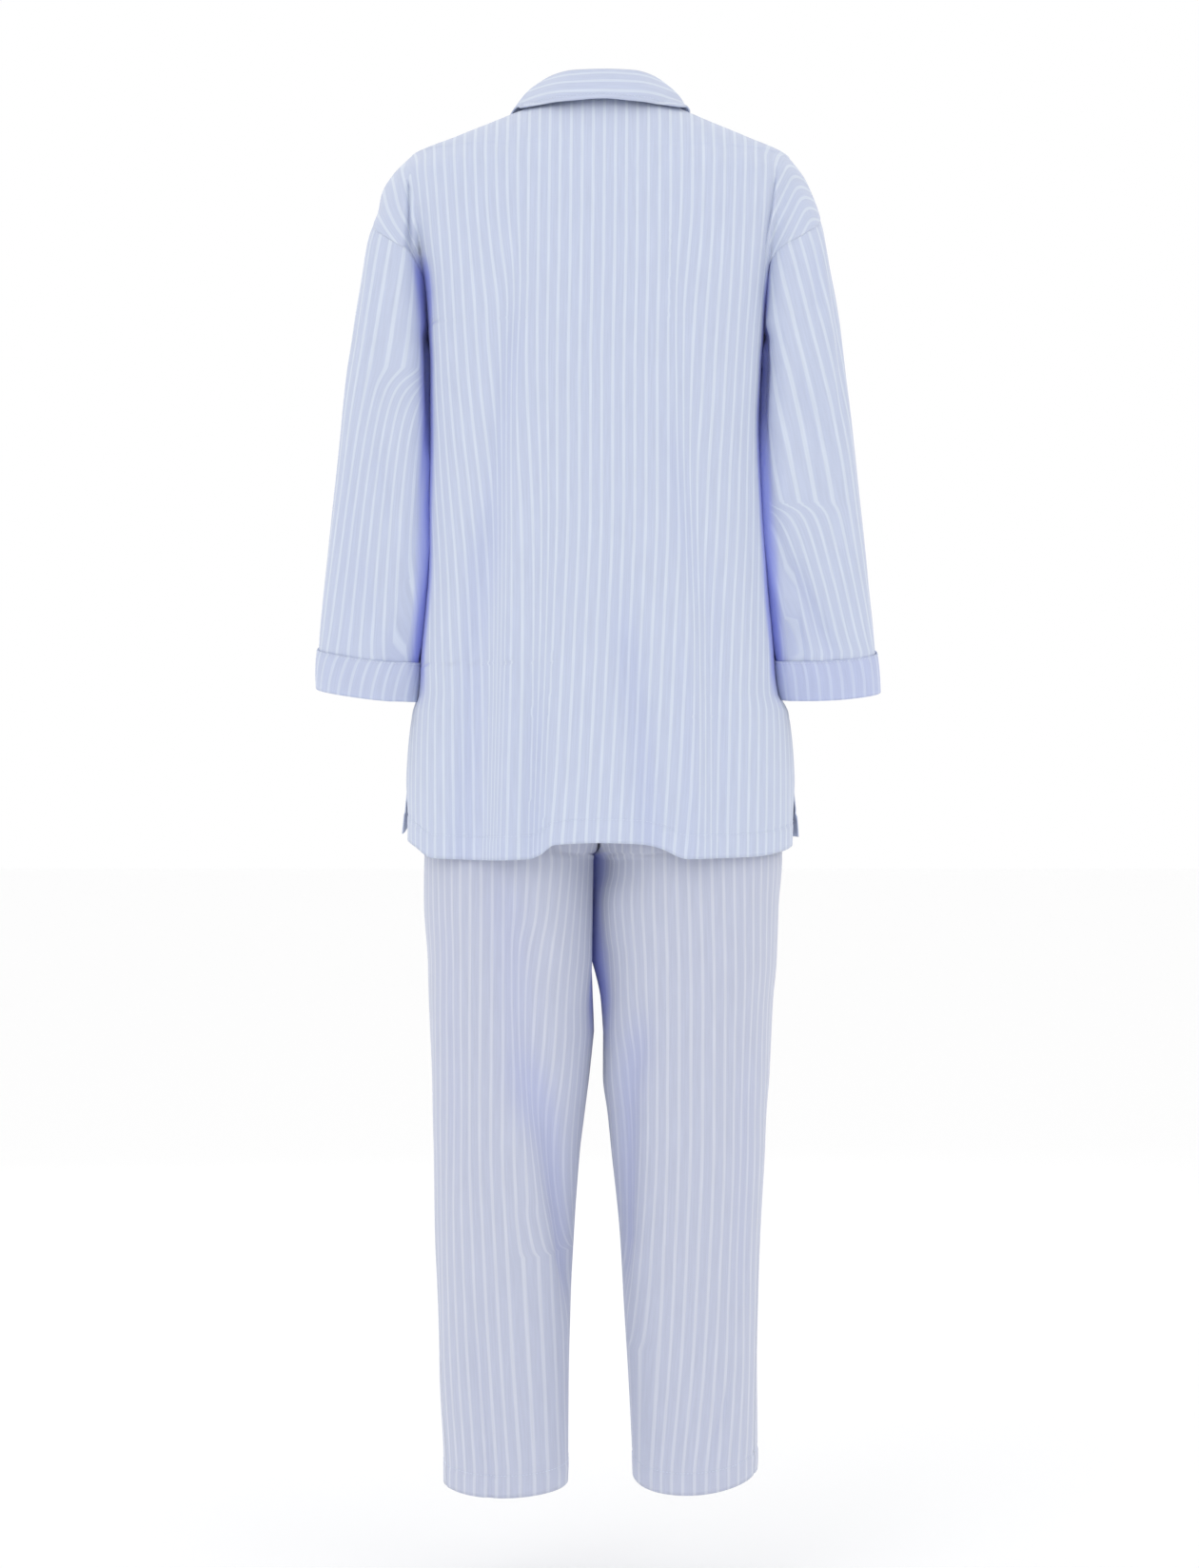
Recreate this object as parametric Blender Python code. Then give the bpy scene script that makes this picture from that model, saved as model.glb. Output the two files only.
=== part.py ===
"""A striped pyjama set, worn and filled out: a loose top with a camp collar, and straight trousers.

Metres. The front faces -Y, the wearer's left is +X, and the origin lies at the height of the neck points.
Each panel of cloth is a grid of points on the garment's form, thickened to one closed wall.
"""
import math

import bpy
import numpy as np

WALL = 0.0016
SEAM_GAP = 0.0003
LEFT = 1
RIGHT = -1
BACK = 1
FRONT = -1

# ------------------------------------------------------------------ sizes of the top
# One row per level: the body's half width, its depth behind and before the side line, how square it is,
# and how far its middle stands to the wearer's left.
TORSO = (
    ("z", "half_width", "back", "front", "square", "shift"),
    (0.0077, 0.066, 0.072, 0.045, 2.0, -0.005),
    (-0.0048, 0.0815, 0.084, 0.058, 2.0, -0.004),
    (-0.0144, 0.1040, 0.091, 0.068, 2.0, -0.003),
    (-0.0336, 0.1510, 0.101, 0.082, 2.1, -0.002),
    (-0.0528, 0.1920, 0.109, 0.093, 2.3, 0.000),
    (-0.0720, 0.2010, 0.116, 0.101, 2.9, 0.001),
    (-0.0912, 0.1960, 0.121, 0.107, 3.2, 0.001),
    (-0.1104, 0.1910, 0.125, 0.112, 3.5, 0.001),
    (-0.1488, 0.1820, 0.130, 0.120, 3.8, 0.002),
    (-0.1776, 0.1740, 0.132, 0.125, 4.0, 0.002),
    (-0.2256, 0.1675, 0.132, 0.130, 4.2, 0.003),
    (-0.2736, 0.1645, 0.130, 0.129, 4.2, 0.004),
    (-0.3216, 0.1640, 0.127, 0.125, 4.0, 0.005),
    (-0.3984, 0.1675, 0.123, 0.119, 3.6, 0.004),
    (-0.4752, 0.1710, 0.123, 0.116, 3.2, 0.002),
    (-0.5520, 0.1770, 0.127, 0.118, 2.9, 0.002),
    (-0.5900, 0.1810, 0.130, 0.119, 2.6, 0.001),
    (-0.6090, 0.1885, 0.131, 0.120, 2.55, -0.001),
    (-0.6576, 0.1940, 0.134, 0.122, 2.5, -0.001),
    (-0.7100, 0.1960, 0.135, 0.124, 2.5, -0.001),
    (-0.7700, 0.1970, 0.135, 0.125, 2.5, 0.000),
)
# The arm's tube, cut level: how far out it reaches on each side, where its inner wall stands,
# its middle line, half depth and squareness, and how far it is turned forward (degrees).
ARM = (
    ("z", "outer_left", "outer_right", "inner", "middle", "half_depth", "square", "turn", "slant_left", "slant_right"),
    (-0.0450, 0.1780, 0.1780, 0.1000, 0.000, 0.030, 2.2, 0.0, 0.0000, 0.0000),
    (-0.0528, 0.1930, 0.1920, 0.1080, 0.000, 0.041, 2.2, 2.0, 0.0000, 0.0000),
    (-0.0720, 0.2086, 0.2066, 0.1200, 0.001, 0.060, 2.3, 5.0, 0.0000, 0.0000),
    (-0.0912, 0.2169, 0.2134, 0.1300, 0.003, 0.069, 2.5, 8.0, 0.0000, 0.0000),
    (-0.1104, 0.2192, 0.2189, 0.1390, 0.006, 0.075, 2.8, 10.0, 0.0000, 0.0000),
    (-0.1296, 0.2246, 0.2228, 0.1480, 0.009, 0.080, 3.2, 9.0, 0.0050, 0.0000),
    (-0.1488, 0.2282, 0.2260, 0.1550, 0.012, 0.083, 3.7, 7.0, 0.0110, 0.0000),
    (-0.1680, 0.2308, 0.2290, 0.1590, 0.015, 0.084, 4.0, 5.0, 0.0130, 0.0000),
    (-0.2256, 0.2386, 0.2406, 0.1605, 0.018, 0.082, 4.4, 3.0, 0.0110, 0.0020),
    (-0.2420, 0.2406, 0.2430, 0.1670, 0.018, 0.081, 4.4, 2.5, 0.0040, 0.0010),
    (-0.2736, 0.2454, 0.2475, 0.1670, 0.018, 0.079, 4.4, 2.0, 0.0015, 0.0040),
    (-0.3216, 0.2507, 0.2547, 0.1662, 0.018, 0.075, 4.4, 1.2, 0.0000, 0.0040),
    (-0.3984, 0.2612, 0.2621, 0.1698, 0.018, 0.069, 4.2, 0.8, 0.0000, 0.0000),
    (-0.4752, 0.2715, 0.2694, 0.1734, 0.015, 0.062, 3.8, 2.0, 0.0000, 0.0020),
    (-0.5300, 0.2770, 0.2762, 0.1778, 0.010, 0.057, 3.6, 4.0, 0.0000, 0.0020),
    (-0.5560, 0.2789, 0.2783, 0.1826, 0.008, 0.055, 3.4, 5.0, 0.0000, 0.0010),
    (-0.6100, 0.2819, 0.2819, 0.1892, 0.004, 0.051, 3.0, 6.0, 0.0000, 0.0000),
)
ARM_TOP = -0.045
# The dropped armhole seam: where it crosses the ridge of the shoulder, and its fall towards the body.
ARMHOLE_TOP = -0.1110
ARMHOLE_FALL = {LEFT: 1.05, RIGHT: 0.80}
ARM_CLEAR = 0.0046
# The end of each sleeve: its level at the outer side, the middle of the back and the inner side.
CUFF_END = {LEFT: (-0.5812, -0.5950, -0.5965), RIGHT: (-0.5840, -0.5970, -0.5925)}
CUFF_WIDTH = 0.039
CUFF_STAND = 0.0024
SLEEVE_IN_CUFF = 0.004

NECK_TOP = 0.0077
BREAK = -0.215
NECK_SPREAD = 0.062
LAP = 0.015
LAP_STEP = 0.00135
SIDE_SEAM = 97.0
SLIT_TOP = -0.672
SLIT_BACK_IN = 0.011
SLIT_FRONT_OUT = 0.004
# The back's hem, from the wearer's left to the right.
BACK_HEM = (
    ("x", "z"),
    (-0.200, -0.7380), (-0.180, -0.7470), (-0.150, -0.7520), (-0.085, -0.7535), (-0.058, -0.7430),
    (-0.040, -0.7395), (0.000, -0.7380), (0.045, -0.7400), (0.058, -0.7500), (0.070, -0.7540),
    (0.110, -0.7550), (0.165, -0.7535), (0.182, -0.7430), (0.200, -0.7330),
)
FRONT_HEM = (
    ("x", "z"),
    (-0.200, -0.7345), (-0.186, -0.7325), (-0.165, -0.7140), (0.000, -0.7080), (0.165, -0.7060),
    (0.190, -0.7080), (0.197, -0.7310), (0.202, -0.7330),
)
# Large folds of the body: where each starts and ends, its half width and depth (inwards is positive).
BACK_FOLDS = (
    ("x_top", "z_top", "x_end", "z_end", "half_width", "depth", "fade"),
    (0.075, -0.200, 0.104, -0.470, 0.013, 0.0070, 0.10),
    (0.110, -0.400, 0.134, -0.790, 0.017, 0.0110, 0.12),
    (0.062, -0.560, 0.066, -0.800, 0.011, 0.0070, 0.12),
    (-0.070, -0.300, -0.088, -0.480, 0.012, 0.0060, 0.10),
    (-0.022, -0.480, -0.055, -0.800, 0.015, 0.0100, 0.12),
    (-0.108, -0.420, -0.118, -0.700, 0.016, 0.0050, 0.14),
    (0.086, -0.480, 0.096, -0.800, 0.012, -0.0050, 0.12),
    (-0.085, -0.500, -0.088, -0.800, 0.014, -0.0060, 0.14),
)
FRONT_FOLDS = (
    ("x_top", "z_top", "x_end", "z_end", "half_width", "depth", "fade"),
    (0.080, -0.260, 0.105, -0.790, 0.014, 0.0090, 0.12),
    (-0.085, -0.280, -0.098, -0.790, 0.015, 0.0080, 0.12),
    (0.130, -0.420, 0.145, -0.790, 0.012, 0.0060, 0.12),
    (-0.045, -0.450, -0.058, -0.790, 0.012, 0.0060, 0.12),
)
# Large folds of the sleeves, by the share of the way round from the outer side by way of the back.
SLEEVE_FOLDS = {
    LEFT: (
        ("round_top", "z_top", "round_end", "z_end", "half_width", "depth", "fade"),
        (0.16, -0.330, 0.22, -0.620, 0.060, 0.0040, 0.10),
        (0.34, -0.420, 0.36, -0.640, 0.050, 0.0060, 0.10),
        (0.78, -0.300, 0.72, -0.600, 0.050, 0.0050, 0.10),
    ),
    RIGHT: (
        ("round_top", "z_top", "round_end", "z_end", "half_width", "depth", "fade"),
        (0.24, -0.400, 0.30, -0.640, 0.055, 0.0070, 0.10),
        (0.10, -0.150, 0.17, -0.330, 0.040, 0.0040, 0.07),
        (0.76, -0.280, 0.72, -0.600, 0.050, 0.0050, 0.10),
    ),
}

# ------------------------------------------------------------------ sizes of the collar and fastening
# One row per place along the neckline: its foot, its roll line and the edge of its fall.
COLLAR = (
    ("foot_x", "foot_y", "foot_z", "roll_x", "roll_y", "roll_z", "edge_x", "edge_y", "edge_z"),
    (0.0000, 0.0700, 0.0105, 0.0000, 0.0770, 0.0245, 0.0000, 0.1010, -0.0085),
    (0.0300, 0.0630, 0.0105, 0.0310, 0.0690, 0.0250, 0.0390, 0.0935, -0.0100),
    (0.0480, 0.0430, 0.0110, 0.0490, 0.0470, 0.0255, 0.0700, 0.0630, -0.0100),
    (0.0550, 0.0140, 0.0115, 0.0610, 0.0180, 0.0240, 0.0880, 0.0180, -0.0020),
    (0.0500, -0.0160, 0.0110, 0.0600, -0.0180, 0.0190, 0.0960, -0.0240, -0.0040),
    (0.0500, -0.0460, -0.0020, 0.0590, -0.0480, 0.0060, 0.1060, -0.0540, -0.0220),
    (0.0470, -0.0720, -0.0240, 0.0530, -0.0780, -0.0200, 0.1060, -0.0800, -0.0450),
    (0.0400, -0.0920, -0.0480, 0.0460, -0.0960, -0.0470, 0.0930, -0.0950, -0.0660),
)
COLLAR_RIGHT = 0.92
COLLAR_CLEAR = 0.0034
COLLAR_LIFT = 0.0035
REVERS_TOP = -0.079
REVERS = (
    ("z", "width"),
    (-0.079, 0.058), (-0.110, 0.046), (-0.150, 0.030), (-0.185, 0.014), (-0.205, 0.005),
)
BUTTON_LEVELS = (-0.238, -0.358, -0.478, -0.598)
BUTTON_RADIUS = 0.006
BUTTON_THICK = 0.0026
BUTTON_GAP = 0.0008

# ------------------------------------------------------------------ sizes of the trousers
# The two legs, cut level: outer and inner reach on each side (the inner wall passes the middle above
# the crotch), middle line, half depth and squareness.
LEGS = (
    ("z", "outer_left", "inner_left", "outer_right", "inner_right", "middle", "half_depth", "square"),
    (-0.4500, 0.1420, -0.1420, 0.1420, -0.1420, 0.002, 0.096, 2.1),
    (-0.4800, 0.1480, -0.1450, 0.1480, -0.1450, 0.002, 0.099, 2.1),
    (-0.5616, 0.1590, -0.1300, 0.1600, -0.1300, 0.003, 0.104, 2.2),
    (-0.6300, 0.1660, -0.1000, 0.1690, -0.1000, 0.004, 0.107, 2.25),
    (-0.6900, 0.1705, -0.0500, 0.1750, -0.0500, 0.003, 0.108, 2.3),
    (-0.7250, 0.1735, -0.0180, 0.1800, -0.0180, 0.002, 0.108, 2.3),
    (-0.7450, 0.1745, -0.0040, 0.1825, -0.0040, 0.001, 0.108, 2.3),
    (-0.7550, 0.1750, 0.0013, 0.1835, 0.0013, 0.001, 0.107, 2.3),
    (-0.8016, 0.1757, 0.0013, 0.1800, 0.0013, 0.000, 0.105, 2.3),
    (-0.8600, 0.1725, 0.0013, 0.1780, 0.0013, -0.002, 0.101, 2.3),
    (-0.8976, 0.1718, 0.0034, 0.1747, 0.0040, -0.004, 0.099, 2.3),
    (-0.9744, 0.1685, 0.0106, 0.1712, 0.0038, -0.008, 0.092, 2.3),
    (-1.0128, 0.1680, 0.0154, 0.1680, 0.0086, -0.010, 0.089, 2.3),
    (-1.0512, 0.1670, 0.0202, 0.1661, 0.0125, -0.011, 0.086, 2.3),
    (-1.1280, 0.1661, 0.0259, 0.1622, 0.0202, -0.011, 0.080, 2.25),
    (-1.2048, 0.1632, 0.0298, 0.1603, 0.0250, -0.008, 0.074, 2.2),
    (-1.2816, 0.1613, 0.0317, 0.1590, 0.0298, -0.004, 0.068, 2.2),
    (-1.3584, 0.1568, 0.0322, 0.1584, 0.0336, 0.000, 0.062, 2.2),
    (-1.4000, 0.1560, 0.0340, 0.1550, 0.0352, 0.001, 0.060, 2.2),
)
# Where the legs part they stand a little to the left, and their inner walls slant, so no light comes between.
LEGS_PART = (
    ("z", "aside", "slant"),
    (-0.7000, 0.0000, 0.000), (-0.7500, 0.0028, 0.045), (-0.8700, 0.0028, 0.045),
    (-0.9150, 0.0028, 0.000), (-1.0100, 0.0000, 0.000),
)
# The end of each leg: its level at the outer side, the middle of the back and the inner side.
LEG_END = {LEFT: (-1.3835, -1.3885, -1.3800), RIGHT: (-1.3715, -1.3862, -1.3745)}
OUTSEAM = {"top": 92.0, "end": 68.0}
WAIST = -0.450
WAISTBAND_WIDTH = 0.032
LEG_FOLDS = {
    LEFT: (
        ("round_top", "z_top", "round_end", "z_end", "half_width", "depth", "fade"),
        (0.24, -0.740, 0.27, -1.000, 0.045, 0.0060, 0.10),
        (0.28, -0.950, 0.44, -1.180, 0.045, 0.0110, 0.09),
        (0.13, -0.760, 0.12, -1.050, 0.040, 0.0040, 0.14),
        (0.72, -0.760, 0.60, -1.000, 0.050, 0.0060, 0.10),
        (0.78, -1.050, 0.72, -1.350, 0.050, 0.0050, 0.12),
    ),
    RIGHT: (
        ("round_top", "z_top", "round_end", "z_end", "half_width", "depth", "fade"),
        (0.34, -0.900, 0.44, -1.160, 0.045, 0.0110, 0.09),
        (0.12, -0.900, 0.10, -1.200, 0.045, 0.0040, 0.14),
        (0.70, -0.770, 0.60, -1.010, 0.050, 0.0060, 0.10),
        (0.76, -1.040, 0.72, -1.350, 0.050, 0.0050, 0.12),
    ),
}

CLOTH = (0.62, 0.70, 0.88)
BUTTON = (0.90, 0.91, 0.94)


# ------------------------------------------------------------------ small helpers
def ease(share):
    """0 to 1, level at both ends."""
    share = np.clip(share, 0.0, 1.0)
    return share * share * (3.0 - 2.0 * share)


def curve(table, name, at):
    """The named column of a table at `at` (its first column), smoothly between the rows."""
    rows = sorted(table[1:])
    xs = np.array([row[0] for row in rows])
    ys = np.array([row[table[0].index(name)] for row in rows])
    steps = np.diff(xs)
    slopes = np.diff(ys) / steps
    tangents = np.zeros_like(ys)
    same = slopes[:-1] * slopes[1:] > 0
    tangents[1:-1][same] = 2 * slopes[:-1][same] * slopes[1:][same] / (slopes[:-1] + slopes[1:])[same]
    tangents[0] = slopes[0]
    tangents[-1] = slopes[-1]
    at = np.clip(np.asarray(at, float), xs[0], xs[-1])
    i = np.clip(np.searchsorted(xs, at, side="right") - 1, 0, len(xs) - 2)
    t = (at - xs[i]) / steps[i]
    return (
        ys[i] * (1 + 2 * t) * (1 - t) ** 2
        + tangents[i] * steps[i] * t * (1 - t) ** 2
        + ys[i + 1] * t * t * (3 - 2 * t)
        - tangents[i + 1] * steps[i] * t * t * (1 - t)
    )


def power(value, exponent):
    return np.sign(value) * np.abs(value) ** exponent


def lengths(points):
    """How far along the line each of its points lies."""
    return np.concatenate([[0.0], np.cumsum(np.linalg.norm(np.diff(points, axis=0), axis=1))])


def along(points, at):
    """Points at the given distances along a line."""
    run = lengths(points)
    return np.stack([np.interp(at, run, points[:, k]) for k in range(points.shape[1])], axis=1)


def even(points, count, trim=0.0):
    """The line as `count` evenly spaced points, its end drawn back by `trim`."""
    run = lengths(points)[-1]
    return along(points, np.linspace(0.0, run - trim, count))


def soften(points, reach):
    """The line with its corners rounded over `reach`, its end kept and its start on the middle plane."""
    step = 0.001
    run = lengths(points)[-1]
    count = max(int(run / step), 8)
    line = even(points, count)
    half = int(min(3 * reach / step, count - 2))
    if half < 1:
        return line
    before = line[half:0:-1] * (-1, 1, 1)
    after = 2 * line[-1] - line[-2 : -half - 2 : -1]
    padded = np.concatenate([before, line, after])
    kernel = np.exp(-0.5 * (np.arange(-half, half + 1) * step / reach) ** 2)
    kernel /= kernel.sum()
    return np.stack([np.convolve(padded[:, k], kernel, mode="valid") for k in range(line.shape[1])], axis=1)


def folded(folds, place, z):
    """How far inwards the folds of a table press at (place, z)."""
    total = np.zeros(np.broadcast(place, z).shape)
    for place_top, z_top, place_end, z_end, half_width, depth, fade in folds[1:]:
        share = np.clip((z - z_top) / (z_end - z_top), 0.0, 1.0)
        middle = place_top + (place_end - place_top) * share
        across = np.exp(-(((place - middle) / half_width) ** 2))
        down = ease((z_top - z) / fade + 0.3) * ease((z - z_end) / fade + 0.6)
        total += depth * across * down
    return total


# ------------------------------------------------------------------ the forms
def torso_at(z):
    names = ("half_width", "back", "front", "square", "shift")
    return {name: float(curve(TORSO, name, z)) for name in names}


def torso_line(z, side, start, end, count=260):
    """The body's outline at one level, from `start` to `end` degrees: 0 centre back, 180 centre front."""
    size = torso_at(z)
    angle = np.radians(np.linspace(start, end, count))
    depth = np.where(np.cos(angle) > 0, size["back"], size["front"])
    x = size["half_width"] * power(np.sin(angle), 2 / size["square"])
    y = depth * power(np.cos(angle), 2 / size["square"])
    return np.stack([side * x, y, np.full(count, z)], axis=1)


def torso_reach(points, z, clear=0.0):
    """Under 1 inside the body's outline at one level, over 1 outside it."""
    size = torso_at(z)
    depth = np.where(points[:, 1] > 0, size["back"], size["front"]) + clear
    wide = np.abs(points[:, 0]) / (size["half_width"] + clear)
    return (wide ** size["square"] + np.abs(points[:, 1] / depth) ** size["square"]) ** (1 / size["square"])


def shifted(points):
    """Points moved with the body's middle line."""
    moved = points.copy()
    moved[..., 0] += curve(TORSO, "shift", points[..., 2])
    return moved


def tube_shape(square, turn, count=480):
    angle = np.linspace(0.0, 2 * math.pi, count, endpoint=False)
    ex = power(np.cos(angle), 2 / square)
    ey = power(np.sin(angle), 2 / square)
    return ex, ey, math.radians(turn)


def arm_size(z, side):
    names = ("inner", "middle", "half_depth", "square", "turn")
    size = {name: float(curve(ARM, name, z)) for name in names}
    size["outer"] = float(curve(ARM, "outer_left" if side == LEFT else "outer_right", z))
    size["slant"] = float(curve(ARM, "slant_left" if side == LEFT else "slant_right", z))
    return size


def plain_ring(z, side, count=480):
    """The arm's outline at one level, from the middle of its outer side round by the back, closed on itself."""
    size = arm_size(z, side)
    ex, ey, turn = tube_shape(size["square"], size["turn"], count)
    wide = (size["outer"] - size["inner"]) / 2
    x = ex * wide * math.cos(turn) + ey * size["half_depth"] * math.sin(turn)
    y = -ex * wide * math.sin(turn) + ey * size["half_depth"] * math.cos(turn)
    x = size["inner"] + (x - x.min()) / (x.max() - x.min()) * 2 * wide
    x = x + size["slant"] * np.clip(y / size["half_depth"], 0.0, 1.0) * (size["outer"] - x) / (2 * wide)
    ring = np.stack([side * x, y + size["middle"], np.full(count, z)], axis=1)
    return np.concatenate([ring, ring[:1]])


def ridge_share(z, side):
    """The share of the way round at which the ridge of the shoulder crosses the arm's ring."""
    size = arm_size(z, side)
    wide = (size["outer"] - size["inner"]) / 2
    steep = (size["half_depth"] * math.tan(math.radians(size["turn"])) / wide) ** (1 / (size["square"] - 1))
    angle = math.atan(steep ** (size["square"] / 2))
    run = lengths(plain_ring(z, side))
    return float(np.interp(angle / (2 * math.pi) * (len(run) - 1), np.arange(len(run)), run) / run[-1])


def arm_ring(z, side, count=480):
    """The arm's outline at one level, from the ridge of the shoulder round by the back, closed on itself."""
    ring = plain_ring(z, side, count)
    run = lengths(ring)[-1]
    return along(ring, (ridge_share(z, side) * run + np.linspace(0.0, run, count + 1)) % run)


def arm_reach(points, z, side):
    """Under 1 inside the arm's outline at one level."""
    size = arm_size(z, side)
    ex, ey, turn = tube_shape(size["square"], size["turn"])
    wide = (size["outer"] - size["inner"]) / 2
    spread = ex * wide * math.cos(turn) + ey * size["half_depth"] * math.sin(turn)
    x = side * points[:, 0]
    y = points[:, 1] - size["middle"]
    back = size["slant"] * np.clip(y / size["half_depth"], 0.0, 1.0) / (2 * wide)
    x = (x - back * size["outer"]) / (1 - back)
    x = spread.min() + (x - size["inner"]) / (2 * wide) * (spread.max() - spread.min())
    y = points[:, 1] - size["middle"]
    along_width = (x * math.cos(turn) - y * math.sin(turn)) / wide
    along_depth = (x * math.sin(turn) + y * math.cos(turn)) / size["half_depth"]
    return (np.abs(along_width) ** size["square"] + np.abs(along_depth) ** size["square"]) ** (1 / size["square"])


def armhole_meets(z, side):
    """The angles at which the body's outline runs into the arm, behind and before, or None."""
    line = torso_line(z, side, 0.0, 180.0, 721)
    inside = np.flatnonzero(arm_reach(line, z, side) < 1.0)
    if z > ARM_TOP or len(inside) == 0:
        return None
    return inside[0] * 0.25, inside[-1] * 0.25


def underarm(side):
    """The level at which the arm's tube comes free of the body, and the angle of that place."""
    upper, lower = -0.18, -0.36
    for _ in range(22):
        middle = (upper + lower) / 2
        if armhole_meets(middle, side) is None:
            lower = middle
        else:
            upper = middle
    meets = armhole_meets(upper, side)
    return upper, (meets[0] + meets[1]) / 2


UNDERARM = {side: underarm(side) for side in (LEFT, RIGHT)}


def seam_angle(z, side):
    """Where the side seam runs below the underarm."""
    level, angle = UNDERARM[side]
    return angle + (SIDE_SEAM - angle) * float(ease((level - z) / 0.20))


def cut_x(z, side):
    """How far out the body's cloth reaches over the arm at this level, by the armhole seam."""
    ridge = arm_size(ARMHOLE_TOP, side)["outer"]
    return ridge - (ARMHOLE_TOP - z) / ARMHOLE_FALL[side]


def body_row(z, side, face):
    """The body's cloth at one level, from the middle to the armhole, shoulder or side seam."""
    centre = 0.0 if face == BACK else 180.0
    meets = armhole_meets(z, side)
    if meets is None:
        end = 90.0 if z > UNDERARM[side][0] else seam_angle(z, side)
        return torso_line(z, side, centre, end)
    line = torso_line(z, side, centre, meets[0] if face == BACK else meets[1])
    ring = arm_ring(z, side)
    half = len(ring) // 2
    arc = ring[: half + 90] if face == BACK else ring[::-1][: half + 90]
    outside = torso_reach(arc, z) >= 1.0
    stop = int(np.argmin(outside)) if not outside.all() else len(arc)
    arc = arc[:stop]
    if z < ARMHOLE_TOP - 1e-6:
        arc = arc[np.abs(arc[:, 0]) < cut_x(z, side)]
    if len(arc) > 3:
        line = np.concatenate([line, arc[::-1]])
    reach = 0.0035 + 0.010 * float(1 - ease((-0.062 - z) / 0.05))
    return soften(line, reach)


def arm_point(z, side, share):
    """A point of the sleeve: `share` of the way round from the middle of its outer side by the back."""
    ring = plain_ring(z, side)
    return along(ring, [share % 1.0 * lengths(ring)[-1]])[0]


# ------------------------------------------------------------------ walls
def normals(grid, closed=False):
    """The grid's unit normals."""
    if closed:
        across = np.roll(grid, -1, axis=1) - np.roll(grid, 1, axis=1)
    else:
        across = np.gradient(grid, axis=1)
    down = np.gradient(grid, axis=0)
    normal = np.cross(across, down)
    return normal / np.maximum(np.linalg.norm(normal, axis=2, keepdims=True), 1e-12)


def make(name, points, faces, colour, roughness=0.9):
    """One object, its faces turned outwards."""
    corners = [points[list(face)] for face in faces]
    volume = sum(float(np.dot(c[0], np.cross(c[k], c[k + 1]))) for c in corners for k in range(1, len(c) - 1))
    if volume < 0:
        faces = [tuple(reversed(face)) for face in faces]
    mesh = bpy.data.meshes.new(name)
    mesh.from_pydata([tuple(point) for point in points], [], faces)
    mesh.update()
    made = bpy.data.objects.new(name, mesh)
    bpy.context.scene.collection.objects.link(made)
    material = bpy.data.materials.new(name)
    material.use_nodes = True
    surface = material.node_tree.nodes["Principled BSDF"]
    surface.inputs["Base Color"].default_value = (*colour, 1.0)
    surface.inputs["Roughness"].default_value = roughness
    mesh.materials.append(material)
    return made


def wall(name, grid, closed=False, thick=WALL, colour=CLOTH):
    """A grid of points as one closed wall of cloth, half its thickness to each side."""
    rows, columns = grid.shape[:2]
    out = normals(grid, closed) * (thick / 2)
    points = np.concatenate([(grid + out).reshape(-1, 3), (grid - out).reshape(-1, 3)])
    inner = rows * columns
    faces = []
    last = columns if closed else columns - 1
    for r in range(rows - 1):
        for c in range(last):
            d = (c + 1) % columns
            a, b, e, f = r * columns + c, r * columns + d, (r + 1) * columns + d, (r + 1) * columns + c
            faces.append((a, b, e, f))
            faces.append((inner + f, inner + e, inner + b, inner + a))
    for r, turned in ((0, True), (rows - 1, False)):
        for c in range(last):
            a, b = r * columns + c, r * columns + (c + 1) % columns
            face = (a, b, inner + b, inner + a)
            faces.append(face[::-1] if turned else face)
    if not closed:
        for c, turned in ((0, False), (columns - 1, True)):
            for r in range(rows - 1):
                a, b = r * columns + c, (r + 1) * columns + c
                face = (a, b, inner + b, inner + a)
                faces.append(face[::-1] if turned else face)
    return make(name, points, faces, colour)


def to_levels(grid, levels, wanted):
    """Each column of a grid moved to its own wanted levels."""
    out = np.empty(wanted.shape + (3,))
    order = np.argsort(levels)
    for c in range(grid.shape[1]):
        for k in range(3):
            out[:, c, k] = np.interp(wanted[:, c], levels[order], grid[order, c, k])
    return out


def pressed(grid, amount, closed=False, outward=1.0):
    """The grid moved inwards along its normals."""
    return grid - normals(grid, closed) * (outward * amount)[..., None]


# ------------------------------------------------------------------ the top
def levels_of_top():
    """The levels of the body's rows, closest where the shoulder and the armhole turn."""
    spans = (
        (NECK_TOP, -0.0528, 6, 1), (-0.0528, ARMHOLE_TOP, 4, 1), (ARMHOLE_TOP, -0.1560, 6, 2),
        (-0.1560, -0.2600, 6, 1), (-0.2600, -0.3000, 3, 1), (-0.3000, -0.6600, 9, 1),
    )
    levels = [NECK_TOP]
    for start, end, count, closing in spans:
        levels.extend(start + (end - start) * (np.arange(1, count + 1) / count) ** closing)
    return np.array(levels)


TOP_LEVELS = levels_of_top()
HEM_ROWS = 3
HEM_START = TOP_LEVELS[-1]


def half_grid(side, face, columns, levels, first):
    """The rows of half a body panel. `first` gives how far from the middle each row starts."""
    rows = []
    for z in levels:
        line = body_row(z, side, face)
        start = first(z)
        if start > 0:
            line = line[np.abs(line[:, 0]) >= start]
        elif start < 0:
            line = np.concatenate([[[side * start, line[0, 1], z]], line])
        rows.append(even(line, columns, SEAM_GAP))
    return np.array(rows)


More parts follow.
